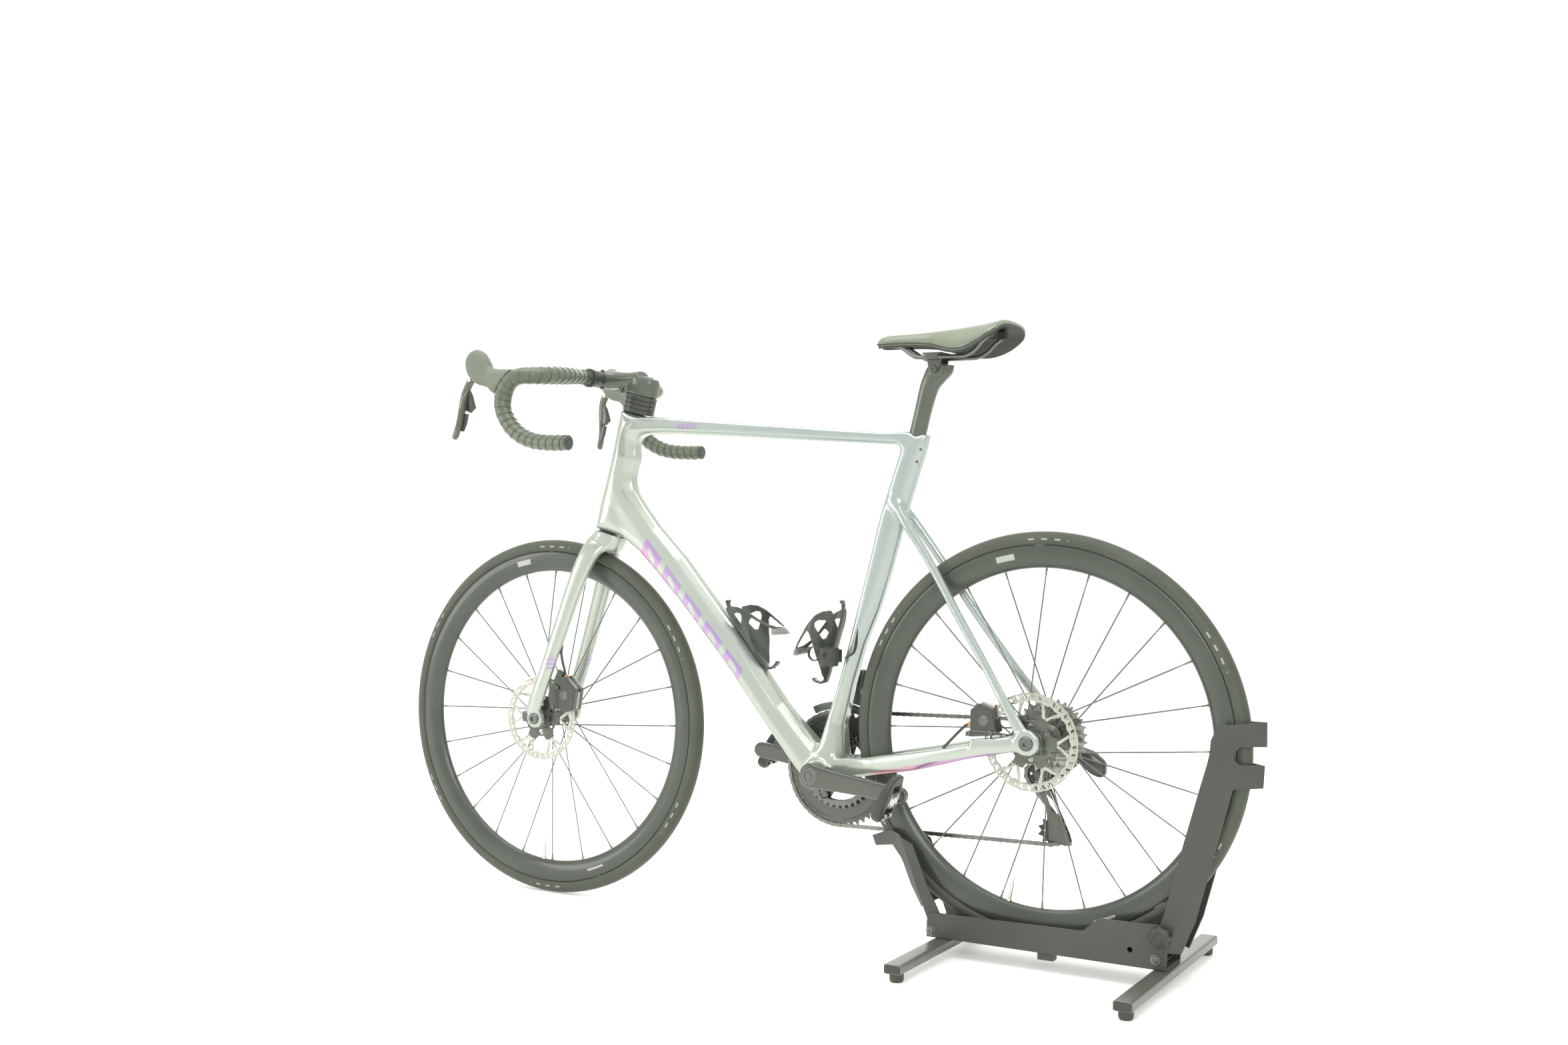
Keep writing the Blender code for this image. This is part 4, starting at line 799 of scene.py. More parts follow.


# clamp cover let into the back of the seat tube, with its screws; a slightly larger gloss-black piece under
# the cover shows as a dark outline, painted shade in the gap round it
for name, lo, hi, out, mat in (("clamp_gap_painted_shade", 1.4, 9.0, 0.0, GLOSS_BLACK),
                               ("clamp_cover", 2.6, 8.0, 0.5, PAINT)):
    cover = []
    for z in (819.0 + 3 * out, 856.0 - 3 * out):
        cover.append([Vector((tube_back(z) + dx - out / 2, side * (6.9 + 0.6 * dx + out), z))
                      for dx, side in ((lo, 1), (hi, 1), (hi, -1), (lo, -1))])
    piece(name, loft(cover), mat, "bicycle", "frame", 30, 0.7)
screws = []
for z in (827.0, 848.0):
    for side in (1, -1):
        spot = (tube_back(z) + 5.2, side * 11.9, z)
        screws.append(disc(spot, (-0.52, side * 0.85, 0), [(2.4, -1.0), (2.4, 0.3), (2.0, 0.6), (1.1, 0.6),
                                                           (1.0, -0.2)], 20))
piece("clamp_cover_screws", join(*screws), ALLOY, "bicycle", "frame", 30)

# fork: both legs with the crown, and the steerer end
legs = [(1012, 58, 348, 15, 5.5), (1002, 59, 368, 15, 7.5), (986, 58, 410, 14.5, 8.5),
        (966, 55, 465, 15, 9.0), (945, 51, 525, 16, 9.5), (928, 47.5, 575, 17, 10),
        (911, 42.5, 622, 18.5, 10.5), (899, 35, 653, 20, 10.5), (889, 22, 675, 23, 9.5),
        (885, 8, 682, 25, 9)]
skin = Field((828, -76, 312), (1040, 76, 716), 1.8)
skin.tube(legs + [(x, -y, z, a, b) for x, y, z, a, b in reversed(legs)], FORE, 2.5, 4, 5)
crown = [(along_steer(t).x, 0, along_steer(t).z, a, b)
         for t, a, b in ((-264, 25, 21), (-255, 29, 25), (-245, 30.5, 26), (-234.4, 31, 26))]
skin.tube(crown, FORE, 2.4, 14, 3)
for s in (1, -1):
    skin.barrel(FRONT, 17.5, s * 52.0, s * 64.0, 5)
fork_ob = piece("fork_skin", skin.skin(), PAINT, "front_end", "fork")
melt(fork_ob, 0, 8)


# ---- wheels --------------------------------------------------------------------------------
def wheel(prefix, hub, spacing, rotor_y, flange_l, flange_r):
    """Tyre, rim, hub, laced spokes, valve and rotor of one wheel."""
    body = prefix + "_wheel"
    tyre = [(317.3, -11.2)]
    for k in range(1, 21):
        a = math.radians(-128 + 256 * k / 21)
        tyre.append((325.3 + 14.3 * math.cos(a), 14.5 * math.sin(a)))
    tyre.append((317.3, 11.2))
    tread = tyre_material(prefix, hub)
    piece(prefix + "_tyre_skin", lathe(tyre, hub, 180, True), tread, body, prefix + "_tyre",
          60)
    wall = [(RIM_INNER, 2.5), (281.5, 5.0), (285.5, 8.6), (291, 11.0), (298, 12.9), (305.0, 13.4),
            (312, 13.2), (316.2, 12.7), (RIM_OUTER, 12.0)]
    rim = [(r, -y) for r, y in wall] + wall[::-1]
    piece(prefix + "_rim_skin", lathe(rim, hub, 180, True), rim_material(prefix, hub), body, prefix + "_rim",
          60)
    reach = spacing / 2 - 1.0
    bore = 6.6
    if prefix == "rear":
        prof = [(bore, reach), (10.2, reach), (11, reach - .8), (11, rotor_y - 6), (17, rotor_y - 9),
                (17, flange_l + 9), (21, flange_l + 4.5), (25.4, flange_l + 3), (26, flange_l + 2.4),
                (26, flange_l - 2.4), (25.4, flange_l - 3), (20, flange_l - 5), (14.5, flange_l - 10),
                (13, flange_l - 15), (13, flange_r + 12), (14, flange_r + 8), (20.4, flange_r + 3),
                (21, flange_r + 2.3), (21, flange_r - 1.4), (20.4, flange_r - 2), (15.5, flange_r - 4),
                (15.5, -66.0), (bore, -66.0)]
    else:
        prof = [(bore, reach), (9.2, reach), (10, reach - .8), (10, rotor_y + 1.5), (15, rotor_y - 6),
                (15.5, flange_l + 6), (19.4, flange_l + 3), (20, flange_l + 2.4), (20, flange_l - 2.4),
                (19.4, flange_l - 3), (15, flange_l - 4.5), (11.5, flange_l - 8), (10.8, flange_l - 14),
                (10.8, flange_r + 12), (11.5, flange_r + 7), (16.4, flange_r + 3), (17, flange_r + 2.4),
                (17, flange_r - 2.4), (16.4, flange_r - 3), (10, flange_r - 6), (10, -reach + .8),
                (9.2, -reach), (bore, -reach)]
    shapes = [lathe(prof, hub, 48, True)]
    spokes, nipples = [], []
    for k in range(SPOKES):
        left = k % 2 == 0
        base_y = flange_l if left else flange_r
        root = (22.0 if left else 17.5) if prefix == "rear" else (16.5 if left else 13.5)
        out = 360 * k / SPOKES
        x, z = polar(hub, root, out + (62 if (k // 2) % 2 == 0 else -62))
        a = Vector((x, base_y, z))
        x, z = polar(hub, RIM_INNER - 2.0, out)
        b = Vector((x, 0.5 if left else -0.5, z))
        d = (b - a).normalized()
        bladed = []
        for f, wide, thin in ((0.0, 1.1, 1.1), (0.05, 1.1, 1.1), (0.09, 1.25, 0.75), (0.88, 1.25, 0.75),
                              (0.92, 1.05, 1.05), (1.0, 1.05, 1.05)):
            p = a.lerp(b, f)
            bladed.append((p.x, p.y, p.z, thin, wide))
        spokes.append(sweep(bladed, 8, (0, 1, 0)))
        nipples.append(disc(b + d * 1.5, -d, [(1.9, 0), (1.9, 4), (1.5, 4.6), (1.5, 11), (1.2, 11.5)], 10))
        shapes.append(disc(a - d * 3.2, d, [(2.4, 0), (2.9, 1), (2.9, 5.5), (2.3, 6.8)], 12))
    piece(prefix + "_hub_shell", join(*shapes), ALLOY, body, prefix + "_hub_spokes", 40)
    piece(prefix + "_spokes", join(*spokes), DARK_STEEL, body, prefix + "_hub_spokes", 50)
    piece(prefix + "_nipples", join(*nipples), DARK_STEEL, body, prefix + "_hub_spokes", 40)
    # valve with its knurled lock ring and cap
    angle = math.radians(-90 + (12 if prefix == "rear" else 4))
    d = Vector((-math.cos(angle), 0, -math.sin(angle)))
    c = Vector((hub[0], 0, hub[1])) - d * (RIM_INNER + 3)
    valve = disc(c, d, [(2.9, 0), (2.9, 20), (2.5, 20.5), (2.5, 33), (1.4, 33.6), (1.4, 40), (2.2, 40.4),
                        (2.2, 44)])
    nut = disc(c, d, [(4.6, 2.6), (5.0, 3.1), (5.0, 5.6), (4.4, 6.2)])
    piece(prefix + "_valve", join(valve, nut), BRIGHT, body, prefix + "_rim", 30)
    rotor(prefix, hub, rotor_y, body)


def rim_material(prefix, hub):
    """Satin carbon with painted shade in a dark band where the tyre meets it, and two plain pale patches."""
    mat = material(prefix + "_rim_carbon", (0.05, 0.053, 0.05), 0.33, coat=0.3, bump=0.05, scale=700,
                   mottle=0.12)
    n = Nodes(mat)
    r, turn, y = n.polar(hub)
    # painted shade: a darker band on the rim's outer edge where it meets the tyre
    tyre_gap_shade = n.inside(r, 316.0, 317.4)
    n.over(n.times(tyre_gap_shade, 0.6), (0.02, 0.02, 0.02, 1))
    wide = n.times(n.inside(r, 296, 306), n.inside(turn, 0.205, 0.222, 0.0004))
    narrow = n.times(n.inside(r, 299, 303), n.inside(turn, -0.32, -0.30, 0.0004))
    n.over(n.times(n.maths("MAXIMUM", wide, narrow), 0.7), (0.5, 0.5, 0.47, 1))
    return mat


def tyre_material(prefix, hub):
    """Fine diagonal tread on the crown and a broken pale line on the side, with painted shade in the tread
    grooves and in a dark ring just above the rim.
    """
    mat = material(prefix + "_tyre_rubber", (0.06, 0.062, 0.054), 0.58, bump=0.2, scale=1500, mottle=0.12,
                   sheen=0.1)
    n = Nodes(mat)
    r, turn, y = n.polar(hub)
    side = n.maths("ABSOLUTE", y)
    slant = n.plus(n.times(turn, 420.0), n.times(side, 0.22))
    saw = n.maths("PINGPONG", slant, 0.5)
    grooves = n.times(n.inside(saw, 0.0, 0.14, 0.08), n.inside(r, 332.5, 338.0, 0.8))
    n.raise_by(n.times(grooves, -1.0), 0.5, 0.6)
    # painted shade: the grooves are also darkened in colour
    n.over(n.times(grooves, 0.5), (0.03, 0.03, 0.028, 1))
    # painted shade: a dark ring on the tyre in the crease just above the rim
    ring = n.inside(r, 318.4, 319.6, 0.4)
    n.over(n.times(ring, 0.5), (0.03, 0.03, 0.028, 1))
    print_line = n.times(n.inside(r, 325.5, 328.3, 0.3), n.dashes(turn, 1 / 90, 0.25, 0.7, 0.05),
                         n.dashes(turn, 1 / 6, 0.38, 0.62, 0.004))
    n.over(n.times(print_line, 0.55), (0.5, 0.5, 0.45, 1))
    return mat


def rotor(prefix, hub, y, body):
    """Braking ring with a scalloped inner edge and holes, thin arms and a dark carrier."""
    def pt(r, degrees):
        return polar(hub, r, degrees)

    outer = [pt(80 - (0.9 if k % 10 in (0, 1) else 0), k * 1.8) for k in range(200)]
    inner = [pt(66.5 + 1.1 * math.cos(math.radians(k * 1.8 * 24)), k * 1.8) for k in range(200)]
    holes = []
    for k in range(36):
        if k % 6 == 5:
            holes.append(circle(pt(73.5, k * 10), 1.6, 10))
            continue
        a = k * 10
        holes.append([pt(77.2, a - 1), pt(77.0, a + 2.5), pt(70.5, a + 4.2), pt(70.2, a + 1.2)])
        holes.append(circle(pt(74.8, a + 5.4), 1.3, 10))
    piece(prefix + "_brake_ring", plate([outer, inner] + holes, y - 0.9, y + 0.9, 0.12), ROTOR, body,
          prefix + "_rotor", 30)
    arms = []
    for k in range(6):
        a = k * 60
        arm = [pt(42, a - 3), pt(67.5, a + 13), pt(67.5, a + 19), pt(52, a + 10), pt(42, a + 6)]
        brace = [pt(42, a - 3), pt(66.5, a - 15), pt(66.5, a - 11), pt(46, a + 2)]
        arms += [plate([loop], y - 0.9, y + 0.9, 0.1) for loop in (arm, brace)]
        c = pt(64.5, a + 15.5)
        arms.append(disc((c[0], y - 1.6, c[1]), (0, 1, 0), [(2.6, 0), (2.9, .4), (2.9, 2.8), (2.4, 3.2)], 14))
    piece(prefix + "_rotor_arms", join(*arms), ROTOR, body, prefix + "_rotor", 30)
    spider = [pt(44.5 - (9 if k % 10 in (3, 4, 5, 6, 7) else 0), k * 6) for k in range(60)]
    vents = [circle(pt(27.0, k * 60 + 30), 5.0, 20) for k in range(6)]
    carrier = [plate([spider, circle(hub, 15.8, 32)] + vents, y - 1.6, y + 1.4, 0.3),
               lathe([(15.8, y + 1.4), (20.5, y + 1.4), (20.5, y + 3.4), (19.6, y + 4.0), (15.8, y + 4.0)],
                     hub, 48, True)]
    piece(prefix + "_rotor_carrier", join(*carrier), ALLOY, body, prefix + "_rotor", 35)


wheel("rear", REAR, 142.0, 62.0, 36.0, -21.0)
wheel("front", FRONT, 100.0, 41.0, 24.0, -36.0)


# ---- seat ----------------------------------------------------------------------------------
post_rows = []
for t in (68.0, 0.0, -42.0):
    middle_line = POST_TOP + POST_DOWN * t
    a, b = middle_line + POST_FORE * 15, middle_line - POST_FORE * 15
    post_rows.append((a.x, a.z, b.x, b.z, 23, 0))
post_rows += [(232.5, 957, 200, 947, 23, 0), (226, 975, 188, 962, 23, 0), (221, 986, 174, 976, 22, 0),
              (215, 993, 170, 990, 20, 0)]
ROUND_SEC = [(-math.cos(math.radians(a)), math.sin(math.radians(a)) ** 0.8)
             for a in (12, 32, 55, 78, 102, 125, 148, 168)]
post_ob = piece("seatpost_skin", join(side_tube(post_rows, ROUND_SEC, 5),
                                      lathe([(11.5, -13.0), (13, -12), (13, 12), (11.5, 13.0)], (200, 987),
                                            40)),
                CARBON_SATIN, "saddle_and_post", "seatpost", 45)
melt(post_ob, 1.1, 5)
# yoke: side cheeks, the bridge over the rails and its two bolts
cheek = [(213, 1001), (209, 1007), (191, 1007), (187, 1001), (190, 989), (197, 977), (205, 977), (211, 989)]
clamp = [plate([[(217, 1011), (183, 1011), (183, 1007.3), (217, 1007.3)]], -27, 27, 0.8)]
for s in (1, -1):
    clamp.append(plate([cheek], *((14, 17.6) if s > 0 else (-17.6, -14)), 0.6))
    clamp.append(disc((201, s * 17.4, 984), (0, s, 0), [(5.6, 0), (6.2, .5), (6.2, 2.6), (5.2, 3.4),
                                                        (2.6, 3.4), (2.6, 1.4)], 24))
    clamp.append(block((189, s * 22.5 - 4.5, 999.8), (211, s * 22.5 + 4.5, 1007.6)))
piece("seat_yoke", join(*clamp), ALLOY, "saddle_and_post", "seat_clamp", 30, 0.5)
half = [(96, 30, 1035, 3.5, 3.5), (108, 29, 1026, 3.5, 3.5), (122, 27, 1012, 3.5, 3.5),
        (138, 24, 1004.2, 3.5, 3.5), (160, 22.5, 1003.2, 3.5, 3.5), (222, 22.5, 1003.2, 3.5, 3.5),
        (238, 21, 1007, 3.5, 3.5), (262, 15, 1022, 3.5, 3.5), (284, 9, 1027.5, 3.5, 3.5),
        (292, 3, 1027.5, 3.5, 3.5)]
piece("rails", sweep(half + [(x, -y, z, a, b) for x, y, z, a, b in reversed(half)], 14, (0, 1, 0.3), 2.0, 5),
      DARK_STEEL, "saddle_and_post", "saddle_rails", 40)

# saddle: sections from the nose to the tail (x, half width, edge height, crown height)
SADDLE = [(313.5, 3, 1032, 1035), (311, 9, 1031, 1037.5), (303, 17, 1030, 1042), (285, 20.5, 1030, 1045.5),
          (255, 21.5, 1030, 1047.5), (225, 24, 1029, 1048.5), (200, 31, 1026, 1049.5),
          (175, 46, 1019, 1051), (150, 60, 1014, 1053), (125, 69, 1015, 1056),
          (100, 73, 1024, 1059), (82, 72, 1035, 1061.5), (70, 66, 1044, 1062), (65.5, 58, 1050, 1059)]


def saddle_top(rows, drop, inset, count, groove):
    """Grid over the saddle: each row bows up from its edges, with a hollow along the middle."""
    grid = []
    for x, w, edge, crown in rows:
        line = []
        for k in range(count):
            f = -1 + 2 * k / (count - 1)
            z = edge + (crown - edge) * max(0.0, 1 - abs(f) ** 2.6) ** 0.75
            y = f * (w - inset)
            fade = min(1, max(0, (292 - x) / 40)) * min(1, max(0, (x - 76) / 24))
            channel = math.exp(-(y / 9.0) ** 2) * groove * fade
            line.append((x, y, z - channel - drop))
        grid.append(line)
    return grid


top = saddle_top(fine(SADDLE, 5), 0.0, 0.0, 41, 5.0)
low = saddle_top(fine(SADDLE, 5), 4.6, 1.6, 41, 5.0)
rings = [t + list(reversed(b)) for t, b in zip(top, low)]
cover = piece("saddle_padding", loft(rings), SADDLE_SKIN, "saddle_and_post", "saddle_cover",
              60)
base_rows = [(x, w, e, c) for x, w, e, c in fine(SADDLE, 5) if x < 309]
hi = saddle_top(base_rows, 5.4, 3.0, 25, 4.0)
lo = saddle_top(base_rows, 8.0, 3.4, 25, 4.0)
shell = [loft([t + list(reversed(b)) for t, b in zip(hi, lo)])]
# ribs and the rail sockets under the shell
for s in (1, -1):
    shell.append(block((88, s * 30 - 6, 1033), (104, s * 30 + 6, 1046)))
    for x0, x1 in ((112, 118), (142, 147), (170, 174)):
        w = 40 if x0 < 150 else 24
        near, far = (10, w) if s > 0 else (-w, -10)
        shell.append(block((x0, near, 1036), (x1, far, 1043)))
shell.append(block((278, -8, 1026), (298, 8, 1037)))
piece("saddle_base", join(*shell), SHELL_BLACK, "saddle_and_post", "saddle_shell", 40)
for s in (1, -1):
    edge = [(x, s * (w - 0.4), e - 1.6, 1.5, 1.3) for x, w, e, c in SADDLE[1:-1]]
    piece("saddle_edge_%s" % ("left" if s > 0 else "right"), sweep(edge, 8, (0, 0, 1), 2.0, 5), SHELL_BLACK,
          "saddle_and_post", "saddle_shell", 60)

# ---- cockpit -------------------------------------------------------------------------------
def steer_ring(t, ahead, behind, aside):
    """Oval about the steering axis, t above the top of the head tube."""
    return [along_steer(t, x * (ahead if x > 0 else behind), y * aside) for x, y in unit_ring(40, 2.4)]


spacer_shapes = []
SPACER_EDGES = (0.5, 8.8, 17.2, 25.6, 33.8)
for lo_t, hi_t in zip(SPACER_EDGES, SPACER_EDGES[1:]):
    rings = ((lo_t + .15, 30.2, 22), (lo_t + .8, 30.9, 22.6), (hi_t - .8, 30.8, 22.5), (hi_t - .15, 30, 21.8))
    spacer_shapes.append(loft([steer_ring(t, r, r, w) for t, r, w in rings]))
spacer_shapes.append(loft([steer_ring(0.3, 28, 28, 20), steer_ring(33.9, 28, 28, 20)]))
piece("spacers", join(*spacer_shapes), SPACER, "front_end", "headset_spacers", 30)
BAR = (893, 986)
stem_rows = [(798, 976, 806, 1000, 38, 0), (808, 972, 812, 1000, 40, 0), (835, 968, 835, 999, 38, 0),
             (862, 966.5, 860, 1001, 37, 0), (880, 966.5, 878, 1003, 40, 0), (898, 968.5, 898, 1004, 43, 0),
             (909, 975, 910, 998, 42, 0)]
# clamp round the steerer: distance up it, then how far it reaches ahead, behind and aside
CLAMP = [(34.4, 30, 30, 21.6), (35.2, 31, 31, 22), (48, 31, 31, 22), (62, 29, 30, 21), (69, 26, 27, 18.5)]
stem_parts = [side_tube(stem_rows, ROUND_SEC, 5), loft([steer_ring(*row) for row in CLAMP]),
              plate([[(838, 972), (846, 958), (852, 968), (862, 968), (850, 980)]], -14, 14)]
stem_ob = piece("stem_skin", join(*stem_parts), CARBON_SATIN, "front_end", "stem")
melt(stem_ob, 1.3, 8)
carve(stem_ob, lathe([(16.2, -60.0), (16.2, 60.0)], BAR, 48))
sharpen(stem_ob, 40)
bits = [plate([arc(BAR, 19.5, 118, 242, 16) + arc(BAR, 17.2, 242, 118, 16)], -22.3, -21.7)]
for s in (1, -1):
    bits.append(disc((889.5, s * 12, 970.5), (0.1, 0, -1), [(3.4, 0), (3.6, .5), (3.6, 3), (2, 3.4),
                                                            (1.7, 1.6)], 16))
    bits.append(disc((889, s * 12, 1002.5), (0, 0, 1), [(3.2, -1), (3.4, 1.4), (1.8, 1.6), (1.6, .4)], 16))
bits.append(disc(along_steer(68.6), STEER_DIR, [(15.5, 0), (15.5, 1.2), (14, 2.2), (4.4, 2.2), (4.4, .6)],
                 40))
piece("stem_fittings", join(*bits), DARK_STEEL, "front_end", "stem", 30)
# clamp bands and the bare middle of the bar, thick under the stem
piece("bar_clamp_bands", join(lathe([(16.6, 43.2), (17.4, 43.8), (17.4, 49.4), (16.6, 50)], BAR, 48),
                              lathe([(16.6, -50), (17.4, -49.4), (17.4, -43.8), (16.6, -43.2)], BAR, 48)),
      SHELL_BLACK, "front_end", "handlebar", 30)
taper = [(32, 15.9), (38, 15.7), (44, 14.6), (50, 13.4), (56, 12.7), (62.0, 12.5)]
bar_profile = [(r, -y) for y, r in reversed(taper)] + [(r, y) for y, r in taper]
piece("bar_centre", lathe(bar_profile, BAR, 48), CARBON, "front_end", "handlebar", 50)

WRAP = [(893, 62.3, 986, 12.3, 13), (893, 85, 985.5, 13.5, 15), (893, 115, 984.5, 15.2, 17),
        (894, 150, 982.5, 15.8, 17.5), (899, 178, 980.5, 15.8, 17), (912, 198, 979, 15.5, 16.5),
        (932, 207, 977.5, 15, 16), (949, 209.5, 970, 15, 15.5), (960, 210, 957, 15.5, 15.5),
        (965.5, 211, 940, 16, 15), (965, 212, 922, 15.5, 15), (957, 213, 904, 15, 15),
        (941, 214.5, 885, 15, 15), (918, 216, 869.5, 14.5, 14.5), (890, 217, 860, 14, 14),
        (858, 218, 856.5, 13.8, 13.8), (824, 219, 856, 13.8, 13.8), (812, 219.5, 856, 13.0, 13.0)]


def bar_frames(rows):
    """Points along a bar with two directions across it, the half sizes and the distance so far."""
    rows = fine(rows, 14)
    pts = [Vector(r[:3]) for r in rows]
    out = []
    far, u = 0.0, Vector((0, 0, 1))
    for i, row in enumerate(rows):
        tan = (pts[min(i + 1, len(pts) - 1)] - pts[max(i - 1, 0)]).normalized()
        u = (u - tan * u.dot(tan)).normalized()
        far += (pts[i] - pts[i - 1]).length if i else 0.0
        out.append((pts[i], u, tan.cross(u), row[3], row[4], far))
    return out


def tape(rows, pitch=15.5, lip=1.0):
    """Tape wound round a bar: every turn overlaps the last with a raised slanting edge."""
    rings = []
    for p, u, v, a, b, far in bar_frames(rows):
        ring = []
        for k in range(40):
            w = 2 * math.pi * k / 40
            ridge = lip * (((far / pitch + k / 40) % 1.0) ** 0.8 - 0.75)
            ring.append(p + u * ((a + ridge) * math.cos(w)) + v * ((b + ridge) * math.sin(w)))
        rings.append(ring)
    return loft(rings)


def tape_shade_wire(rows, pitch=15.5):
    """Dark wire that paints the shade where one turn of tape overlaps the next."""
    frames = bar_frames(rows)
    line = []
    for one, two in zip(frames, frames[1:]):
        steps = max(1, round((two[5] - one[5]) / pitch * 24))
        for k in range(steps):
            t = k / steps
            p, u, v = (one[i].lerp(two[i], t) for i in range(3))
            a, b, far = (one[i] + (two[i] - one[i]) * t for i in range(3, 6))
            w = -2 * math.pi * far / pitch
            line.append(p + u * ((a - 0.2) * math.cos(w)) + v * ((b - 0.2) * math.sin(w)))
    return wire(line, 0.75, 6, 1)


HOOD = [((945, 991), (983, 946), 33, 208), ((960, 991.5), (992, 950), 33, 208.5),
        ((980, 992.5), (1000, 958), 31, 209), ((993, 996), (1010, 961), 30, 209.5),
        ((1000, 1009), (1022, 964), 31, 210), ((1010, 1022), (1033, 970), 32, 210.5),
        ((1024, 1029), (1043, 980), 31, 211), ((1038, 1025), (1047, 991), 27, 211),
        ((1046, 1015), (1048, 1001), 15, 211)]
LEVER = [(1046.5, 977, 1034, 968, 8.5, 211), (1053, 962, 1041, 957, 12, 212), (1057, 940, 1046, 938, 15, 216),
         (1058.5, 915, 1049, 914, 16, 219.5), (1061, 893, 1053, 890, 15, 222.5),
         (1067, 873, 1058, 870, 13, 225), (1068, 868, 1060.5, 865.5, 10.5, 226),
         (1066, 864.5, 1061, 863.8, 6, 226.3)]
LEVER_SEC = [(-1, .45), (-.85, .8), (-.4, 1.0), (.4, .95), (.8, .62), (1, .3)]
# outline of each paddle, how far out it stands and how many dots it has
PADDLES = {
    "upper": ([(1043, 957), (1036, 946), (1028, 922), (1039, 913), (1051, 918), (1049, 940)], 0.0, 3),
    "lower": ([(1041, 911), (1053, 912), (1057, 892), (1060, 880), (1052, 879), (1045, 893)], 4.5, 1),
}
for tag, s in SIDES:
    flip = join if s > 0 else mirror
    wound = "bar_tape_" + tag
    piece("tape_" + tag, flip(tape(WRAP)), TAPE, "front_end", wound, 60)
    # painted shade: a dark wire along each overlap of the tape
    piece("tape_shade_wire_" + tag, flip(tape_shade_wire(WRAP)), GLOSS_BLACK, "front_end", wound, 60)
    plug = disc((812.5, 219.5, 856), (-1, 0, 0), [(12.6, -1), (13.4, 0), (13.4, 1.6), (12.4, 2.6), (9.0, 3.0),
                                                 (8.6, 2.2), (6.5, 2.2), (6.1, 3.0), (2.0, 3.2)], 40)
    piece("bar_plug_" + tag, flip(plug), GLOSS_BLACK, "front_end", wound, 30)
    band = lathe([(12.9, 61.5), (13.7, 62), (13.9, 66), (13.7, 71.5), (13.0, 72)], BAR, 48)
    piece("finish_band_" + tag, flip(band), RUBBER, "front_end", wound, 30)
    rows = [(a[0], a[1], b[0], b[1], w, y) for a, b, w, y in HOOD]
    hood = piece("hood_skin_" + tag, flip(side_tube(rows, ROUND_SEC, 6)), HOOD_RUBBER, "front_end",
                 "hood_" + tag, 60)
    melt(hood, 1.3, 10)
    body = tag + "_brake_lever"
    piece("lever_blade_" + tag, flip(side_tube(LEVER, LEVER_SEC, 7)), LEVER_BLACK, body, "brake_lever_" + tag,
          40)
    pin = disc((1040.5, 204.6, 973), (0, 1, 0), [(2.6, 0), (3.0, .4), (3.0, 12.6), (2.6, 13)], 20)
    piece("lever_pin_" + tag, flip(pin), BRIGHT, body, "brake_lever_" + tag, 30)
    for where, (outline, off, count) in PADDLES.items():
        parts = [plate([outline], 210.0 + off, 214.0 + off, 0.9)]
        x = sum(q[0] for q in outline) / len(outline) - 1
        z = sum(q[1] for q in outline) / len(outline) - 7
        for k in range(count):
            parts.append(disc((x + 1.5 * k, 213.9 + off, z + 6 * k), (0, 1, 0),
                              [(1.5, -.4), (1.4, .3), (.6, .6)], 12))
        piece("paddle_%s_%s" % (where, tag), flip(join(*parts)), GLOSS_BLACK, "%s_%s_paddle" % (tag, where),
              "shift_paddle_%s_%s" % (where, tag), 30)


# ---- stand ---------------------------------------------------------------------------------
def dress(node, mat, edge):
    """Give a CAD node a finish and softened edges."""
    ob = frame["nodes"][node]
    for item in ob.material_slots:
        item.material = mat
    ob.modifiers.new("weld", "WELD").merge_threshold = 0.02 * MM
    soften(ob, edge, 32)


for node in ("stand_beam", "stand_front_arm", "stand_rear_arm"):
    dress(node, STAND, 0.7)
for where, x in (("front", 160.0), ("rear", -212.5)):
    def bar_ring(y, half_x, half_z):
        return oval((x, y, 22.15), (1, 0, 0), (0, 0, 1), half_x, half_z, 40, 7.0)

    caps, screws = [], []
    for tag, s in SIDES:
        caps.append(loft([bar_ring(s * 231.2, 14.0, 6.9), bar_ring(s * 231.9, 13.6, 6.5)]))
        screws.append(disc((x, s * 24, 29.9), (0, 0, 1), [(4.6, -.4), (4.6, .6), (3.8, 1.3), (2.0, 1.3),
                                                          (1.8, .5)], 18))
        foot = [oval((x, s * 215, z), (1, 0, 0), (0, 1, 0), r, r, 36)
                for r, z in ((9.0, 0.0), (10.0, 0.8), (11.0, 3.0), (11.5, 5.0), (11.5, 13.0), (10.6, 14.2))]
        piece("stand_pad_%s_%s" % (where, tag), loft(foot), RUBBER, "stand",
              "stand_%s_foot_%s" % (where, tag), 35)
    node = "stand_%s_crossbar" % where
    bar = loft([bar_ring(-231.6, 14.4, 7.3), bar_ring(-231.0, 15.0, 7.85), bar_ring(231.0, 15.0, 7.85),
                bar_ring(231.6, 14.4, 7.3)])
    # the crossbar's lighter steel is a painted reflection
    piece("stand_bar_" + where, bar, STAND_BAR_PAINTED_SHEEN, "stand", node, 40)
    piece("stand_bar_caps_" + where, join(*caps), SHELL_BLACK, "stand", node, 30)
    piece("stand_bar_screws_" + where, join(*screws), DARK_STEEL, "stand", node, 30)
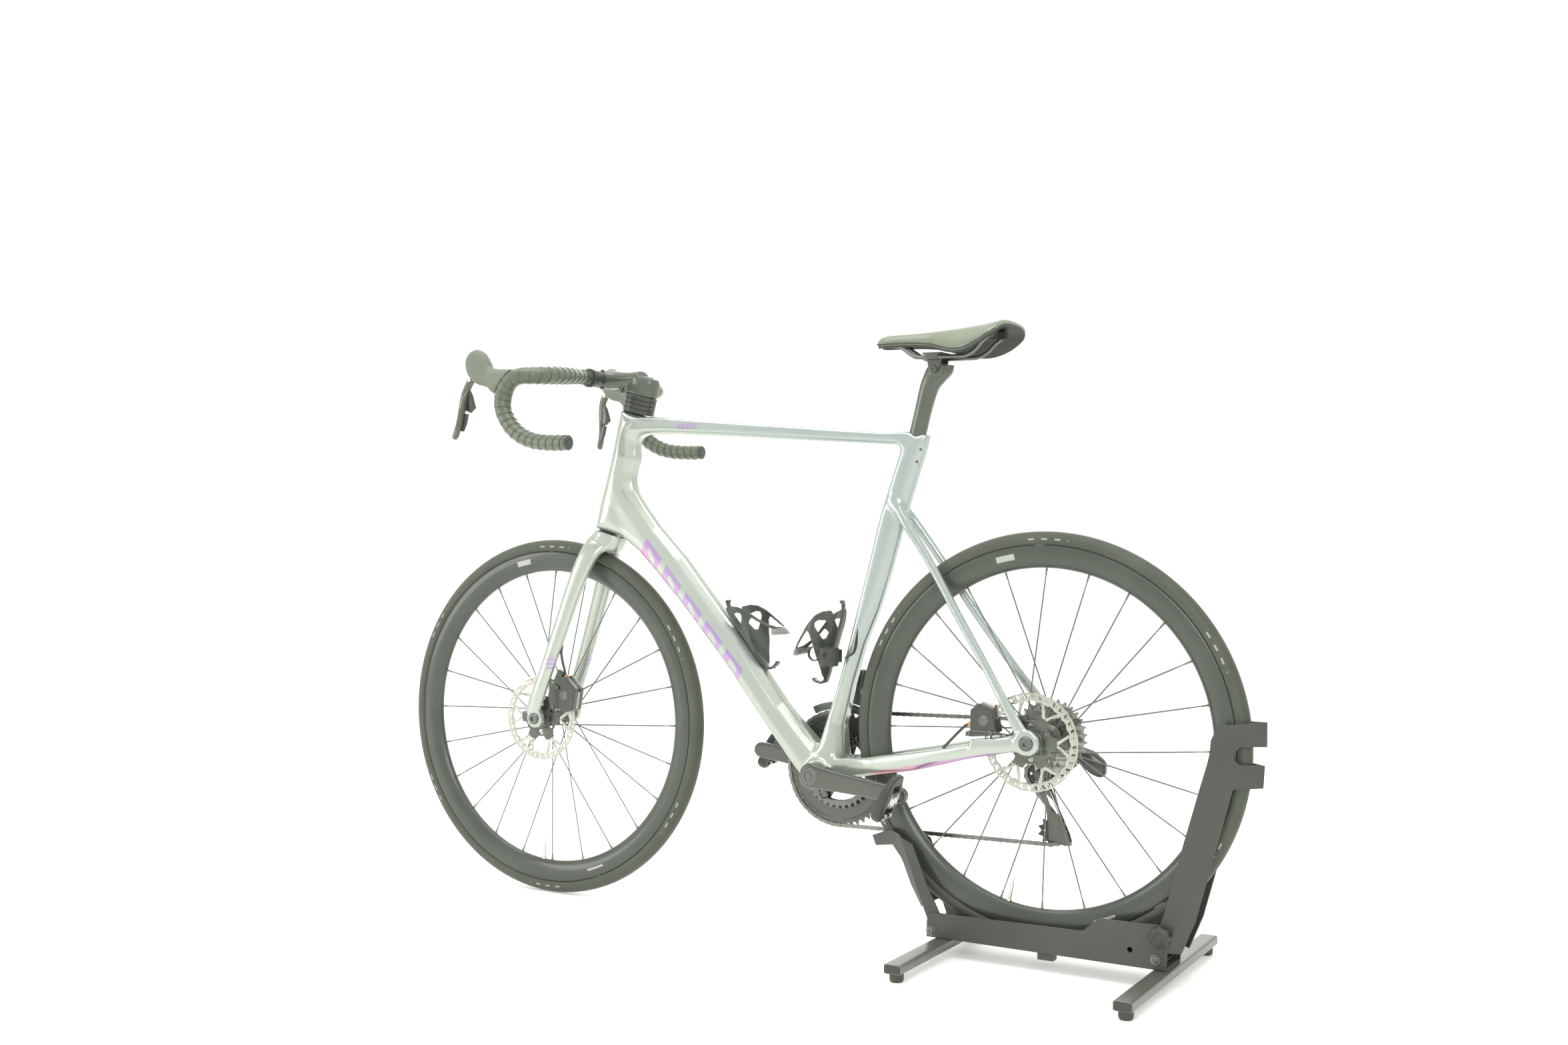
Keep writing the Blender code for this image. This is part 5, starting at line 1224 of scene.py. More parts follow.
for where in ("front", "rear"):
    at = joint_xz(where + "_hook_fold")
    parts = [lathe([(2.9, -40), (2.9, 40)], at, 20)]
    for s in (1, -1):
        parts.append(disc((at[0], s * 41.3, at[1]), (0, s, 0), [(8.6, 0), (8.8, .4), (8.4, 1.0)], 28))
        parts.append(disc((at[0], s * 42.2, at[1]), (0, s, 0), [(6.4, 0), (6.6, .4), (6.0, 2.0), (4.2, 2.9),
                                                                (2.4, 3.0), (2.2, 1.6)], 28))
    piece("stand_pivot_bolt_" + where, join(*parts), DARK_STEEL, "stand", "stand_%s_bolt" % where,
          30)


def knob_lobe(a, r):
    """Eight lobes on the wide part of the knob."""
    return 1.1 * math.cos(8 * a) - 0.35 * math.cos(16 * a) if r > 12 else 0.0


KNOB = [(3.0, 38.6), (3.0, 41.3), (14.5, 41.3), (16.0, 42.2), (16.6, 44.5), (16.6, 50.0), (16.0, 52.6),
        (14.2, 55.0), (11.0, 56.2), (8.2, 56.8), (7.6, 55.8)]
piece("stand_knob_grip", lathe(KNOB, joint_xz("lock_knob_turn"), 96, lobe=knob_lobe), SHELL_BLACK,
      "stand_lock_knob", "stand_knob", 40)

# ---- drivetrain ----------------------------------------------------------------------------
PITCH, RING_Y, COG_Y = 12.7, -45.5, -62.0


def pitch_radius(teeth):
    return PITCH / (2 * math.sin(math.pi / teeth))


def tangent(c1, r1, c2, r2, s1, s2):
    """Where a straight run leaves circle 1 and meets circle 2, turning s1 and s2."""
    dx, dz = c2[0] - c1[0], c2[1] - c1[1]
    a = math.atan2(dz, dx) + math.acos((s1 * r1 - s2 * r2) / math.hypot(dx, dz))
    return polar(c1, s1 * r1, math.degrees(a)), polar(c2, s2 * r2, math.degrees(a))


def chain_line():
    """Closed line of (x, y, z) that the chain's pins follow."""
    wheels = [(BB, pitch_radius(50), 1, RING_Y), (REAR, pitch_radius(11), 1, COG_Y),
              (GUIDE, pitch_radius(11), -1, COG_Y), (TENSION, pitch_radius(11), 1, COG_Y)]
    spans = []
    for i, (c1, r1, s1, _) in enumerate(wheels):
        c2, r2, s2, _ = wheels[(i + 1) % 4]
        spans.append(tangent(c1, r1, c2, r2, -s1, -s2))
    out = []
    for i, (c, r, s, y) in enumerate(wheels):
        a0 = math.atan2(spans[i - 1][1][1] - c[1], spans[i - 1][1][0] - c[0])
        a1 = math.atan2(spans[i][0][1] - c[1], spans[i][0][0] - c[0])
        while s > 0 and a1 < a0:
            a1 += 2 * math.pi
        while s < 0 and a1 > a0:
            a1 -= 2 * math.pi
        out += [Vector((x, y, z)) for x, z in arc(c, r, math.degrees(a0), math.degrees(a1), 24)]
        y2 = wheels[(i + 1) % 4][3]
        p, q = spans[i]
        for k in range(1, 12):
            f = k / 12
            out.append(Vector((p[0] + (q[0] - p[0]) * f, y + (y2 - y) * f, p[1] + (q[1] - p[1]) * f)))
    return out


line = chain_line()
lengths = [0.0]
for i in range(len(line)):
    lengths.append(lengths[-1] + (line[(i + 1) % len(line)] - line[i]).length)
links = 2 * round(lengths[-1] / PITCH / 2)
pins = []
for k in range(links):
    want = lengths[-1] * k / links
    i = max(j for j in range(len(line)) if lengths[j] <= want)
    f = (want - lengths[i]) / (lengths[i + 1] - lengths[i])
    pins.append(line[i].lerp(line[(i + 1) % len(line)], f))
# a link plate is round about both its pins and narrower between them
LINK_END, LINK_WAIST = 4.1, 2.9
link_outline = (arc((PITCH / 2, 0), LINK_END, -60, 60, 6) + [(0, LINK_WAIST)]
                + arc((-PITCH / 2, 0), LINK_END, 120, 240, 6) + [(0, -LINK_WAIST)])
outer_plates, inner_plates, rollers = [], [], []
for k in range(links):
    a, b = pins[k], pins[(k + 1) % links]
    mid, d = (a + b) / 2, (b - a).normalized()
    nrm = Vector((-d.z, 0, d.x)).normalized()
    for y in ((1.35, -2.05) if k % 2 else (2.1, -2.8)):
        walls = [[mid + d * px + nrm * pz + Vector((0, wall, 0)) for px, pz in link_outline]
                 for wall in (y, y + 0.7)]
        (inner_plates if k % 2 else outer_plates).append(loft(walls))
    rollers.append(disc(a + Vector((0, -1.3, 0)), (0, 1, 0), [(3.85, 0), (3.85, 2.6)], 12))
    outer_plates.append(disc(a + Vector((0, -2.95, 0)), (0, 1, 0), [(1.5, 0), (1.8, .15), (1.8, 5.75),
                                                                    (1.5, 5.9)], 10))
piece("chain_outer", join(*outer_plates), CHAIN_STEEL, "bicycle", "chain", 30)
piece("chain_inner", join(*(inner_plates + rollers)), CHAIN_STEEL, "bicycle", "chain", 30)


def teeth(centre, count, depth=5.4, height=3.0):
    """Toothed outline of a sprocket."""
    r = pitch_radius(count)
    out = []
    for k in range(count):
        for f, reach in ((-.5, 1.6 - depth), (-.32, 2.6 - depth), (-.2, 0), (-.08, height), (.08, height),
                         (.2, 0), (.32, 2.6 - depth)):
            out.append(polar(centre, r + reach, 360 * (k + 0.5 + f) / count))
    return out


big = [plate([teeth(BB, 50), circle(BB, 87.5, 72)], RING_Y - 1.1, RING_Y + 1.1, 0.3),
       lathe([(88.5, RING_Y - 1.8), (88.5, RING_Y + 1.8), (84, RING_Y + 2.0), (70, RING_Y + 1.2),
              (58, RING_Y + 1.2), (56, RING_Y + .6), (56, RING_Y - .8), (58, RING_Y - 1.2),
              (70, RING_Y - 3.0), (84, RING_Y - 3.2)],
             BB, 96, True)]
for k in range(10):
    x, z = polar(BB, 91.5, k * 36 + 12)
    big.append(disc((x, RING_Y + .8, z), (0, 1, 0), [(2.0, 0), (2.0, 1.0), (1.2, 1.3)], 10))
piece("big_ring", join(*big), CRANK_BLACK, "crankset", "big_chainring", 30)
SMALL_Y = -38.5
small = [plate([teeth(BB, 34), circle(BB, 57, 60)], SMALL_Y - 1.0, SMALL_Y + 1.0, 0.25)]
for k in range(4):
    c = polar(BB, 55, k * 90 + 30)
    small.append(plate([circle(c, 8.0, 24), circle(c, 3.9, 16)], SMALL_Y - 1.0, SMALL_Y + 1.0, 0.25))
    small.append(disc((c[0], SMALL_Y + .6, c[1]), (0, 1, 0), [(5.4, 0), (5.8, .4), (5.8, 1.4), (5.2, 1.9),
                                                              (2.6, 1.9), (2.4, .8)], 20))
piece("small_ring", join(*small), DARK_STEEL, "crankset", "small_chainring", 30)

cogs = []
for i, count in enumerate((30, 27, 24, 21, 19, 17, 15, 13, 12)):
    y = -27.5 - 3.72 * i
    r = pitch_radius(count)
    holes = [circle(polar(REAR, r - 13, k * 36), 3.6, 12) for k in range(10)] if r > 45 else []
    cogs.append(plate([teeth(REAR, count), circle(REAR, 17.5, 32)] + holes, y - 1.7, y, 0.2))
cogs.append(plate([teeth(REAR, 11), circle(REAR, 13.5, 32)], COG_Y - .9, COG_Y + .9, 0.2))
cogs.append(lathe([(16.2, -26.9), (34, -26.9), (30, -29), (25, -40), (21, -55), (19, -60), (16.2, -60)], REAR,
                  48, True))
cogs.append(lathe([(11.5, -62.9), (16.4, -62.9), (16.0, -64.6), (14.2, -65.2), (11.5, -65.2)], REAR, 48,
                  True))
piece("cogs", join(*cogs), COG_STEEL, "cassette_sprockets", "cassette", 30)

CRANK_SEC = [(-1, .3), (-.93, .72), (-.72, 1), (0, 1), (.72, 1), (.93, .72), (1, .3)]
for tag, s in reversed(SIDES):
    arm = Vector((PEDAL[tag][0] - BB[0], PEDAL[tag][1] - BB[1])).normalized()

    def at(t, off):
        """Point t along the crank arm and off to the side of its middle line."""
        return (BB[0] + arm.x * t - arm.y * off, BB[1] + arm.y * t + arm.x * off)

    rows = []
    for t, hw, y0, y1 in ((-21, 9, 51.5, 64), (-14, 18, 51.5, 67), (0, 22, 51.5, 68.5), (22, 20, 53, 69.5),
                          (70, 17, 56.5, 71.5), (130, 15, 60, 73.5), (172.5, 14.5, 61.5, 74.5),
                          (183, 11, 61.5, 74.3), (187.5, 5, 62, 74)):
        p, q = at(t, hw), at(t, -hw)
        rows.append((p[0], p[1], q[0], q[1], y1 - y0, s * (y0 + y1) / 2))
    ob = piece("crank_arm_" + tag, side_tube(rows, CRANK_SEC, 6), CRANK_BLACK, "crankset", "crank_" + tag)
    melt(ob, 1.2, 6)
    # preload cap, pinch bolts and the washer by the pedal
    trim = [disc((BB[0], s * 67.4, BB[1]), (0, s, 0), [(14.4, 0), (14.6, 1.6), (13.4, 2.6), (9.4, 2.8),
                                                       (8.8, 1.6), (5.2, 1.6), (5.0, 2.4), (2.5, 2.6)], 40)]
    if tag == "left":
        for t in (27.5, 36):
            p = at(t, -19.2)
            trim.append(disc((p[0], s * 61.5, p[1]), (arm.y, 0, -arm.x),
                             [(3.6, -2), (3.8, 1.0), (3.4, 1.6), (1.9, 1.6), (1.8, .4)], 16))
    p = at(172.5, 0)
    trim.append(disc((p[0], s * 73.6, p[1]), (0, s, 0), [(9.6, 0), (9.8, .5), (9.8, 1.1), (8.8, 1.4)], 36))
    piece("crank_trim_" + tag, join(*trim), DARK_STEEL, "crankset", "crank_" + tag, 30)
    if tag == "right":
        spider = [lathe([(10, -51.6), (34, -51.6), (34, -48.2), (10, -48.2)], BB, 60, True)]
        for turn in (30, 118, 210, 298):
            rows = []
            for t, w in ((28, 13), (45, 9.5), (58, 8.5), (64, 9)):
                x, z = polar(BB, t, turn)
                rows.append((*polar((x, z), w, turn + 90), *polar((x, z), -w, turn + 90), 4.6, -49.9))
            spider.append(side_tube(rows, CRANK_SEC, 3))
            x, z = polar(BB, 60, turn)
            spider.append(disc((x, -52.2, z), (0, -1, 0), [(6.6, 0), (6.6, 1.2), (5.6, 1.8), (3, 1.8),
                                                           (2.8, .6)], 24))
        piece("crank_spider", join(*spider), CRANK_BLACK, "crankset", "crank_right", 35)
        piece("crank_axle", lathe([(12.0, -56.0), (12.0, 51.2)], BB, 40), DARK_STEEL, "crankset",
              "crank_right", 40)

    # pedal: a hollowed platform with a front claw and a sprung rear claw
    px, pz = PEDAL[tag]
    nose = Vector((-0.38, 0, 0.925)).normalized()
    flat = Vector((-nose.z, 0, nose.x))

    def pos(t, f, w):
        c = Vector((px, s * 109.0, pz)) + nose * t + flat * f
        return (c.x, c.y + w, c.z)

    rings = []
    for t, half_w, h0, h1 in fine([(-40, 18, -8, 4), (-36, 22, -11, 7), (-30, 26, -12, 8), (-8, 30, -9, 8.6),
                                   (12, 30, -8, 8.6), (28, 23.4, -6, 6.6), (38, 17, -4.5, 7.4),
                                   (42, 13, -3, 7.6), (44, 8, -2, 6.6)], 4):
        ring = []
        for a, b in ((1, .55), (.93, .85), (.78, 1), (0, 1), (-.78, 1), (-.93, .85), (-1, .55), (-1, -.55),
                     (-.9, -.85), (-.7, -1), (0, -1), (.7, -1), (.9, -.85), (1, -.55)):
            ring.append(pos(t, (h0 + h1) / 2 + b * (h1 - h0) / 2, a * half_w))
        rings.append(ring)
    pedal = piece("pedal_body_" + tag, loft(rings), SHELL_BLACK, tag + "_pedal", "pedal_" + tag)
    melt(pedal, 1.2, 5)
    window = []
    for t0, t1, w in ((-24, -13, 15), (15, 26, 13)):
        r = [[pos(t0, f, -w), pos(t0, f, w), pos(t1, f, w * .85), pos(t1, f, -w * .85)] for f in (-30, 30)]
        window.append(loft(r))
    carve(pedal, *window)
    steel = [disc((px, s * 75.0, pz), (0, s, 0), [(5.4, -2), (5.4, 2), (7.4, 2.2), (7.8, 3.2), (7.8, 6.2),
                                                  (7.2, 7.0), (7.0, 24)], 32)]
    crest = [(-16, -9), (-13, 13), (-7, 4), (0, 8), (7, 4), (13, 13), (16, -9), (9, -3), (5, -13), (0, -6),
             (-5, -13), (-9, -3)]
    steel.append(loft([[pos(t, f, w) for w, t in crest] for f in (7.0, 10.4)]))
    for middle in (-9.5, 9.5):
        coil = [pos(-28 + 3.6 * math.cos(k / 2), 7.5 + 3.6 * math.sin(k / 2),
                    middle - 4.5 + k * 0.18) for k in range(51)]
        steel.append(wire(coil, 0.8, 8, 1))
    claw = [[pos(t, f, w) for w in (-12, 12)] + [pos(t + 2.2, f, w) for w in (12, -12)] for t,
            f in ((-38, -10), (-35.5, 9), (-30, 11.5))]
    steel.append(loft(claw))
    piece("pedal_steel_" + tag, join(*steel), RAW, tag + "_pedal", "pedal_" + tag, 35)


# ---- derailleurs ---------------------------------------------------------------------------
gx, gz = GUIDE
tx, tz = TENSION
body = [loft([oval(c, u, (0, 1, 0), a, b, 26, 2.6) for c, u, a, b in (
    ((-2, -71, 352), (1, 0, 0), 8, 3.0), ((-7, -71.6, 347.5), (1, 0, 0), 10, 4.8),
                                                                      ((-12, -72, 343), (1, 0, 0), 12, 6),
    ((-28, -79, 338), (0.5, 0, 0.9), 19, 9), ((-45, -84, 330), (0.3, 0, 1), 23, 12),
    ((-58, -85.4, 325), (0.2, 0, 1), 22.5, 12), ((-66, -86, 322), (0.2, 0, 1), 19.6, 11),
    ((-74, -86, 319), (0, 0, 1), 13, 8), ((-77, -86, 318), (0, 0, 1), 9, 5))]),
    loft([oval((-35, -82.5, 334), (0.3, 0, 1), (0, 1, 0), 6, 4.5, 20), oval((0, -80, 307), (0, 0, 1),
                                                                            (0, 1, 0), 12, 6, 20),
          oval((gx, -77.5, gz), (0, 0, 1), (0, 1, 0), 13, 5, 20)])]
rear_shift = piece("rear_shift_body", join(*body), GLOSS_BLACK, "bicycle", "rear_derailleur")
melt(rear_shift, 1.2, 6)
bits = [disc((gx, -82.4, gz), (0, -1, 0), [(9.6, -.5), (9.8, .4), (8.8, 1.2), (5.0, 1.2), (4.6, .2), (3, .2)],
             32),
        disc((-4, -74.6, 350), (0, -1, 0), [(7.2, -1), (7.4, .6), (6.6, 1.4), (3.4, 1.4), (3.2, .2)], 28),
        *[disc(spot, (0, -1, 0), [(3.4, -.8), (3.6, .2), (3.0, .8), (1.6, .8), (1.5, 0)], 18)
          for spot in ((-52, -97.2, 326), (-64, -96.2, 318))]]
piece("rear_shift_bolts", join(*bits), DARK_STEEL, "bicycle", "rear_derailleur", 30)
piece("rear_shift_plate", plate([[(-66, 330), (-58, 342), (-38, 346), (-30, 340), (-40, 331), (-58, 322)]],
                                -97.6, -96.4, .4),
      ALLOY, "bicycle", "rear_derailleur", 30)
outline = arc(GUIDE, 13, -20, 100, 8) + [(gx - 8, gz + 9), (gx - 13, gz - 4), (-4, 245), (-22, 207),
                                         (-26, 193),
                                       (-20, 187.5), (-4, 187)] + [(12, 191), (16, 200), (17, 212), (20, 240),
                                                                   (30, 272)]
window = [(22, 270), (12, 246), (9, 228), (-6, 231), (2, 250), (14, 276)]
inner_outline = [(gx + 8, gz + 3), (gx + 4, gz + 9.5), (gx - 8, gz + 6), (-8, 236), (-24, 203), (-26, 191),
                 (-18, 188), (11, 196), (13, 236)]
cage = [plate([outline, window], COG_Y - 6.5, COG_Y - 4.5, 0.5),
        plate([inner_outline, [(17, 272), (6, 244), (-5, 240), (5, 262)]], COG_Y + 4.5, COG_Y + 6.3, 0.4)]
for c in (GUIDE, TENSION):
    cage.append(disc((c[0], COG_Y - 7.4, c[1]), (0, 1, 0), [(3.2, 0), (4.6, .5), (4.6, 1.2), (3.0, 1.4),
                                                            (3.0, 12.5), (4.4, 12.6), (4.4, 13.6), (2.6, 14)],
                     20))
cage.append(block((-25.5, COG_Y - 5.5, 188.5), (-21.5, COG_Y + 5.5, 195.5)))
piece("rear_shift_cage", join(*cage), ALLOY, "bicycle", "rear_derailleur_cage", 30)
for name, c in (("guide", GUIDE), ("tension", TENSION)):
    holes = [circle(polar(c, 13, q), 2.2, 10) for q in range(0, 360, 72)]
    toothed = plate([teeth(c, 11, 5.0, 2.2), circle(c, 8.5, 24)] + holes, COG_Y - 1.0, COG_Y + 1.0, 0.25)
    hub = lathe([(3.4, COG_Y - 2.6), (8.6, COG_Y - 2.6), (9, COG_Y - 2.2), (9, COG_Y + 2.2),
                 (8.6, COG_Y + 2.6), (3.4, COG_Y + 2.6)], c, 40, True)
    piece(name + "_wheel", join(toothed, hub), SHELL_BLACK, name + "_jockey", name + "_pulley",
          30)

motor = loft([oval(c, u, (0, 1, 0), a, b, 24, 2.6) for c, u, a, b in (
    ((382, -33, 424), (1, 0, 0), 8, 3.5), ((372, -40, 426), (1, 0, 0.3), 14, 7),
                                                                      ((364, -42, 440), (1, 0, 0), 16.6, 10),
    ((361, -42, 454), (1, 0, 0), 14, 9.4), ((360, -42, 462), (1, 0, 0), 10, 7.4))])
piece("front_shift_motor", motor, GLOSS_BLACK, "bicycle", "front_derailleur", 60)
link = [plate([[(356, 398), (376, 402), (378, 428), (362, 430), (354, 412)]], -44, -37, 0.6)]
for r0, r1, a0, a1, y0, y1 in ((106.5, 118, 62, 116, -53, -51.6), (105.5, 119, 64, 115, -39.8, -38.4)):
    link.append(plate([arc(BB, r0, a0, a1, 18) + arc(BB, r1, a1, a0, 18)], y0, y1, 0.3))
link.append(plate([arc(BB, 116.8, 94, 112, 8) + arc(BB, 119.2, 112, 94, 8)], -53, -38.4))
link.append(disc((368, -48.6, 436), (0, -1, 0), [(3.6, -3), (3.8, 2.6), (3.0, 3.2), (1.7, 3.2), (1.6, 2)],
                 18))
piece("front_shift_cage", join(*link), ALLOY, "bicycle", "front_derailleur", 30)

# ---- axles, brakes, cages, clip ------------------------------------------------------------
for name, hub, reach, cap, body_name in (("rear_thru_axle", REAR, 84.3, 12.0, "bicycle"),
                                         ("front_thru_axle", FRONT, 64.3, 11.0, "front_end")):
    prof = [(6.0, -reach), (6.0, reach - 3.0), (6.0, reach), (cap, reach + .2), (cap, reach + 1.2),
            (cap - .8, reach + 3.0), (cap - 2.0, reach + 4.0), (4.2, reach + 4.2), (3.9, reach + 1.5)]
    piece(name + "_skin", join(lathe(prof, hub, 48), lathe([(7.6, -reach + .6), (8.6, -reach + .8),
                                                            (8.6, -reach + 1.8), (7.6, -reach + 2)],
                                                           hub, 40, True)), DARK_STEEL, body_name, name,
          30)


def caliper(name, body_name, yr, bridge, outline, foot, fins):
    """Brake caliper round a rotor at yr: a bridge, a wall on each side and the foot on the frame or fork."""
    shape = [plate([bridge], yr - 4.0, yr + 4.0, .6), plate([outline], yr + 2.2, yr + 15.5, 1.4),
             plate([outline], yr - 14.5, yr - 2.2, 1.4), plate([foot], yr + 8.3, yr + 17.6, .8)]
    ob = piece(name + "_body", join(*shape), GLOSS_BLACK, body_name, name)
    melt(ob, 1.1, 4)
    extra = []
    for x0, z0, x1, z1 in fins:
        for k in range(4):
            y = yr - 5.4 + k * 3.2
            d = Vector((x1 - x0, z1 - z0)).normalized()
            n = Vector((-d.y, d.x)) * 5.5
            extra.append(plate([[(x0, z0), (x1, z1), (x1 + n.x, z1 + n.y), (x0 + n.x, z0 + n.y)]], y,
                               y + 1.4))
    piece(name + "_fins", join(*extra), RAW, body_name, name, 30)
    cx = sum(p[0] for p in outline) / len(outline)
    cz = sum(p[1] for p in outline) / len(outline)
    bolts = [disc((cx, yr + 15.3, cz), (0, 1, 0), [(8.2, -.5), (8.6, .3), (7.8, 1.2), (5.2, 1.2), (5.0, .4)],
                  36)]
    for p in (foot[0], foot[len(foot) // 2 + 1]):
        q = (p[0] * .8 + cx * .2, p[1] * .8 + cz * .2)
        bolts.append(disc((q[0], yr + 17.2, q[1]), (0, 1, 0), [(3.8, 0), (4.0, .4), (4.0, 2.2), (3.4, 2.8),
                                                               (2.0, 2.8), (1.9, 1.2)], 20))
    piece(name + "_bolts", join(*bolts), DARK_STEEL, body_name, name, 30)


caliper("rear_caliper", "bicycle", 62.0, [(98, 381), (96, 428), (76, 434), (84, 381)],
        [(100, 377), (100, 420), (84, 432), (62, 424), (54, 386), (60, 382)],
        [(108, 376.6), (104, 386), (40, 386), (34, 384.5), (60, 380.4), (96, 376.4)], [(62, 424, 84, 431)])
caliper("front_caliper", "front_end", 41.0, [(922, 376), (915, 402), (944, 424), (948, 412), (930, 398)],
        [(917, 360), (911, 400), (936, 424), (958, 414), (962, 372), (940, 355)],
        [(955, 405), (938, 429), (950, 437), (973, 388), (967, 359), (950, 361)], [(912, 394, 917, 362)])
HOSES = {
    "rear": ([(103, 70, 396), (112, 68, 392), (126, 69.5, 378), (142, 67.5, 362), (152, 66, 352)], "bicycle",
             (100, 70.4, 397.4), (0.9, -.1, -.3)),
    "front": ([(938, 50, 424), (940, 51, 436), (944, 52.5, 452), (947, 52, 468), (946, 51, 482)], "front_end",
              (937.6, 49.6, 420), (.1, .05, 1)),
}
for where, (hose, body_name, nut_at, nut_axis) in HOSES.items():
    piece(where + "_brake_hose", wire(hose, 2.4, 12, 8), RUBBER, body_name, where + "_caliper", 60)
    nut = disc(nut_at, nut_axis, [(3.6, 0), (3.8, .5), (3.8, 5), (2.8, 6)], 12)
    piece(where + "_hose_nut", nut, COPPER, body_name, where + "_caliper", 30)


def wrapped(loops, thick, start, down, out, radius, side):
    """Flat plate of (s, degrees) loops bent round a bottle: s runs down, and 0 degrees faces the tube."""
    flat = [[(s, math.radians(q) * radius) for s, q in loop] for loop in loops]
    ob = solid("flat", *plate(flat, 0.0, thick), 1e-4)
    remesh = ob.modifiers.new("grid", "REMESH")
    remesh.mode = "VOXEL"
    remesh.voxel_size = 0.9
    grid = evaluated(ob)
    verts = []
    for v in grid.vertices:
        s, t, arc_len = v.co
        q = arc_len / radius
        r = radius + t
        n = radius - r * math.cos(q)
        verts.append((start[0] + down[0] * s + out[0] * n, side * r * math.sin(q),
                      start[1] + down[1] * s + out[1] * n))
    faces = [tuple(p.vertices) for p in grid.polygons]
    bpy.data.objects.remove(ob)
    bpy.data.meshes.remove(grid)
    return verts, faces


WING = [(44, 6), (30, 28), (12, 47), (9, 54), (15, 76), (26, 95), (45, 112), (68, 126), (84, 140), (95, 158),
        (99, 184), (113, 184), (110, 166), (99, 146), (85, 130), (71, 119), (57, 109), (60, 98), (74, 81),
        (92, 64), (108, 46), (126, 28), (133, 14), (133, 5)]
WING_WINDOW = [(29, 60), (32, 80), (38, 89), (45, 86), (62, 54), (59, 46), (43, 41), (34, 49)]


def bottle_cage(name, start, end, out, bolts, face):
    """Moulded cage: a back strip with a top tab and a low lip, and a windowed wing on each side."""
    down = Vector((end[0] - start[0], end[1] - start[1])).normalized()

    def at(s, h):
        return (start[0] + down.x * s + out[0] * h, start[1] + down.y * s + out[1] * h)

    strip = []
    for s, h, a, b in ((-4, 7, 1.8, 6.5), (3, 5, 1.8, 6), (10, 3, 2.0, 6.5), (30, .5, 2.2, 7.5),
                       (128, .5, 2.4, 9), (138, 2, 2.4, 9), (143, 9, 2.2, 9), (143, 20, 1.9, 8),
                       (140, 25, 1.6, 7)):
        p = at(s, h)
        strip.append((p[0], 0, p[1], a, b))
    shape = [sweep(strip, 20, (out[0], 0, out[1]), 3.4, 4)]
    tab = at(-5, 8)
    tip = at(-8, 12)
    shape.append(sweep([(tab[0], 0, tab[1], 1.8, 9), (tip[0], 0, tip[1], 1.6, 9)], 16, (out[0], 0, out[1]),
                       3.4))
    for side in (1, -1):
        shape.append(wrapped([WING, WING_WINDOW], 2.2, start, down, out, 34.5, side))
    ob = piece(name + "_skin", join(*shape), CARBON, "bicycle", name)
    melt(ob, 0.9, 4)
    tip = []
    for q in range(134, 227, 4):
        turn = math.radians(q)
        p = at(107 - 7 * (abs(q - 180) / 46) ** 2, 34.5 - 36.6 * math.cos(turn))
        tip.append((p[0], 36.6 * math.sin(turn), p[1], 7.5 - 2.2 * abs(q - 180) / 46, 1.7))
    piece(name + "_tip", sweep(tip, 14, (down.x, 0, down.y), 3.0), COVER_GREY, "bicycle", name,
          40)
    screws = [disc((x, 0, z), face, [(4.6, -1.0), (4.8, 0), (4.4, 1.4), (3.2, 2.2), (1.9, 2.2), (1.8, .8)],
                   24) for x, z in bolts]
    piece(name + "_screws", join(*screws), DARK_STEEL, "bicycle", name, 30)


bottle_cage("bottle_cage_down_tube", (614, 564), (531, 464), (-.769, .638), [(596, 544), (556, 496)],
            (-.77, 0, .64))
bottle_cage("bottle_cage_seat_tube", (369, 574), (403, 456), (.961, .277), [(378, 542), (392, 492)],
            (.96, 0, .27))
cup = ((475, 15), (476, 17), (482, 18), (505, 18), (506.2, 17.6), (506.2, 16.8), (504, 16.4), (479, 16.2),
       (478, .5))
clip = [loft([oval((372, 58, z), (1, 0, 0), (0, 1, 0), r, r * 0.9, 48) for z, r in cup]),
        block((366, 30, 482.5), (378, 44, 499.5)), block((362, 27, 480), (382, 32, 502)),
        block((370, 73, 490), (374, 75.5, 499))]
clip_ob = piece("pump_holder", join(*clip), SHELL_BLACK, "bicycle", "pump_clip", 35, 0.5)
carve(clip_ob, block((371, 66, 491), (373, 80, 498)))
loop = [(p.x, p.y, p.z, 3.5, 1.1) for p in oval((399, 60, 495), (1, 0, 0), (0, 0, 1), 11, 12, 30)]
strap = [sweep(loop, 10, (0, 1, 0), 3.0, closed=True),
         sweep([(409, 60, 497, 3.5, 1.4), (415, 60, 500, 4, 1.6), (424, 60, 501, 4, 1.8),
                (427, 60, 501, 3, 1.2)],
               12, (0, 1, 0), 3.0),
         sweep([(352, 36, 488, 5, 1.0), (340, 26, 498, 5, 1.0), (338, 19, 520, 5, 1.0),
                (336, 12, 545, 5, 1.0)],
               10, (0, 1, 0), 3.0, 4)]
piece("pump_strap", join(*strap), RUBBER, "bicycle", "pump_clip", 35)


# ---- floor, camera and light ---------------------------------------------------------------
floor_mat = material("floor", (0.86, 0.86, 0.84), 0.7, mottle=0.01, rough_vary=0.02)
glow = floor_mat.node_tree.nodes["Principled BSDF"]
glow.inputs["Emission Color"].default_value = (1, 1, 0.985, 1)
glow.inputs["Emission Strength"].default_value = 0.22
floor = bpy.data.objects.new("floor", bpy.data.meshes.new("floor"))
FLOOR_HALF = 60
floor.data.from_pydata([(x * FLOOR_HALF, y * FLOOR_HALF, 0) for x, y in ((-1, -1), (1, -1), (1, 1), (-1, 1))],
                       [], [(0, 1, 2, 3)])
bpy.context.scene.collection.objects.link(floor)
floor.data.materials.append(floor_mat)

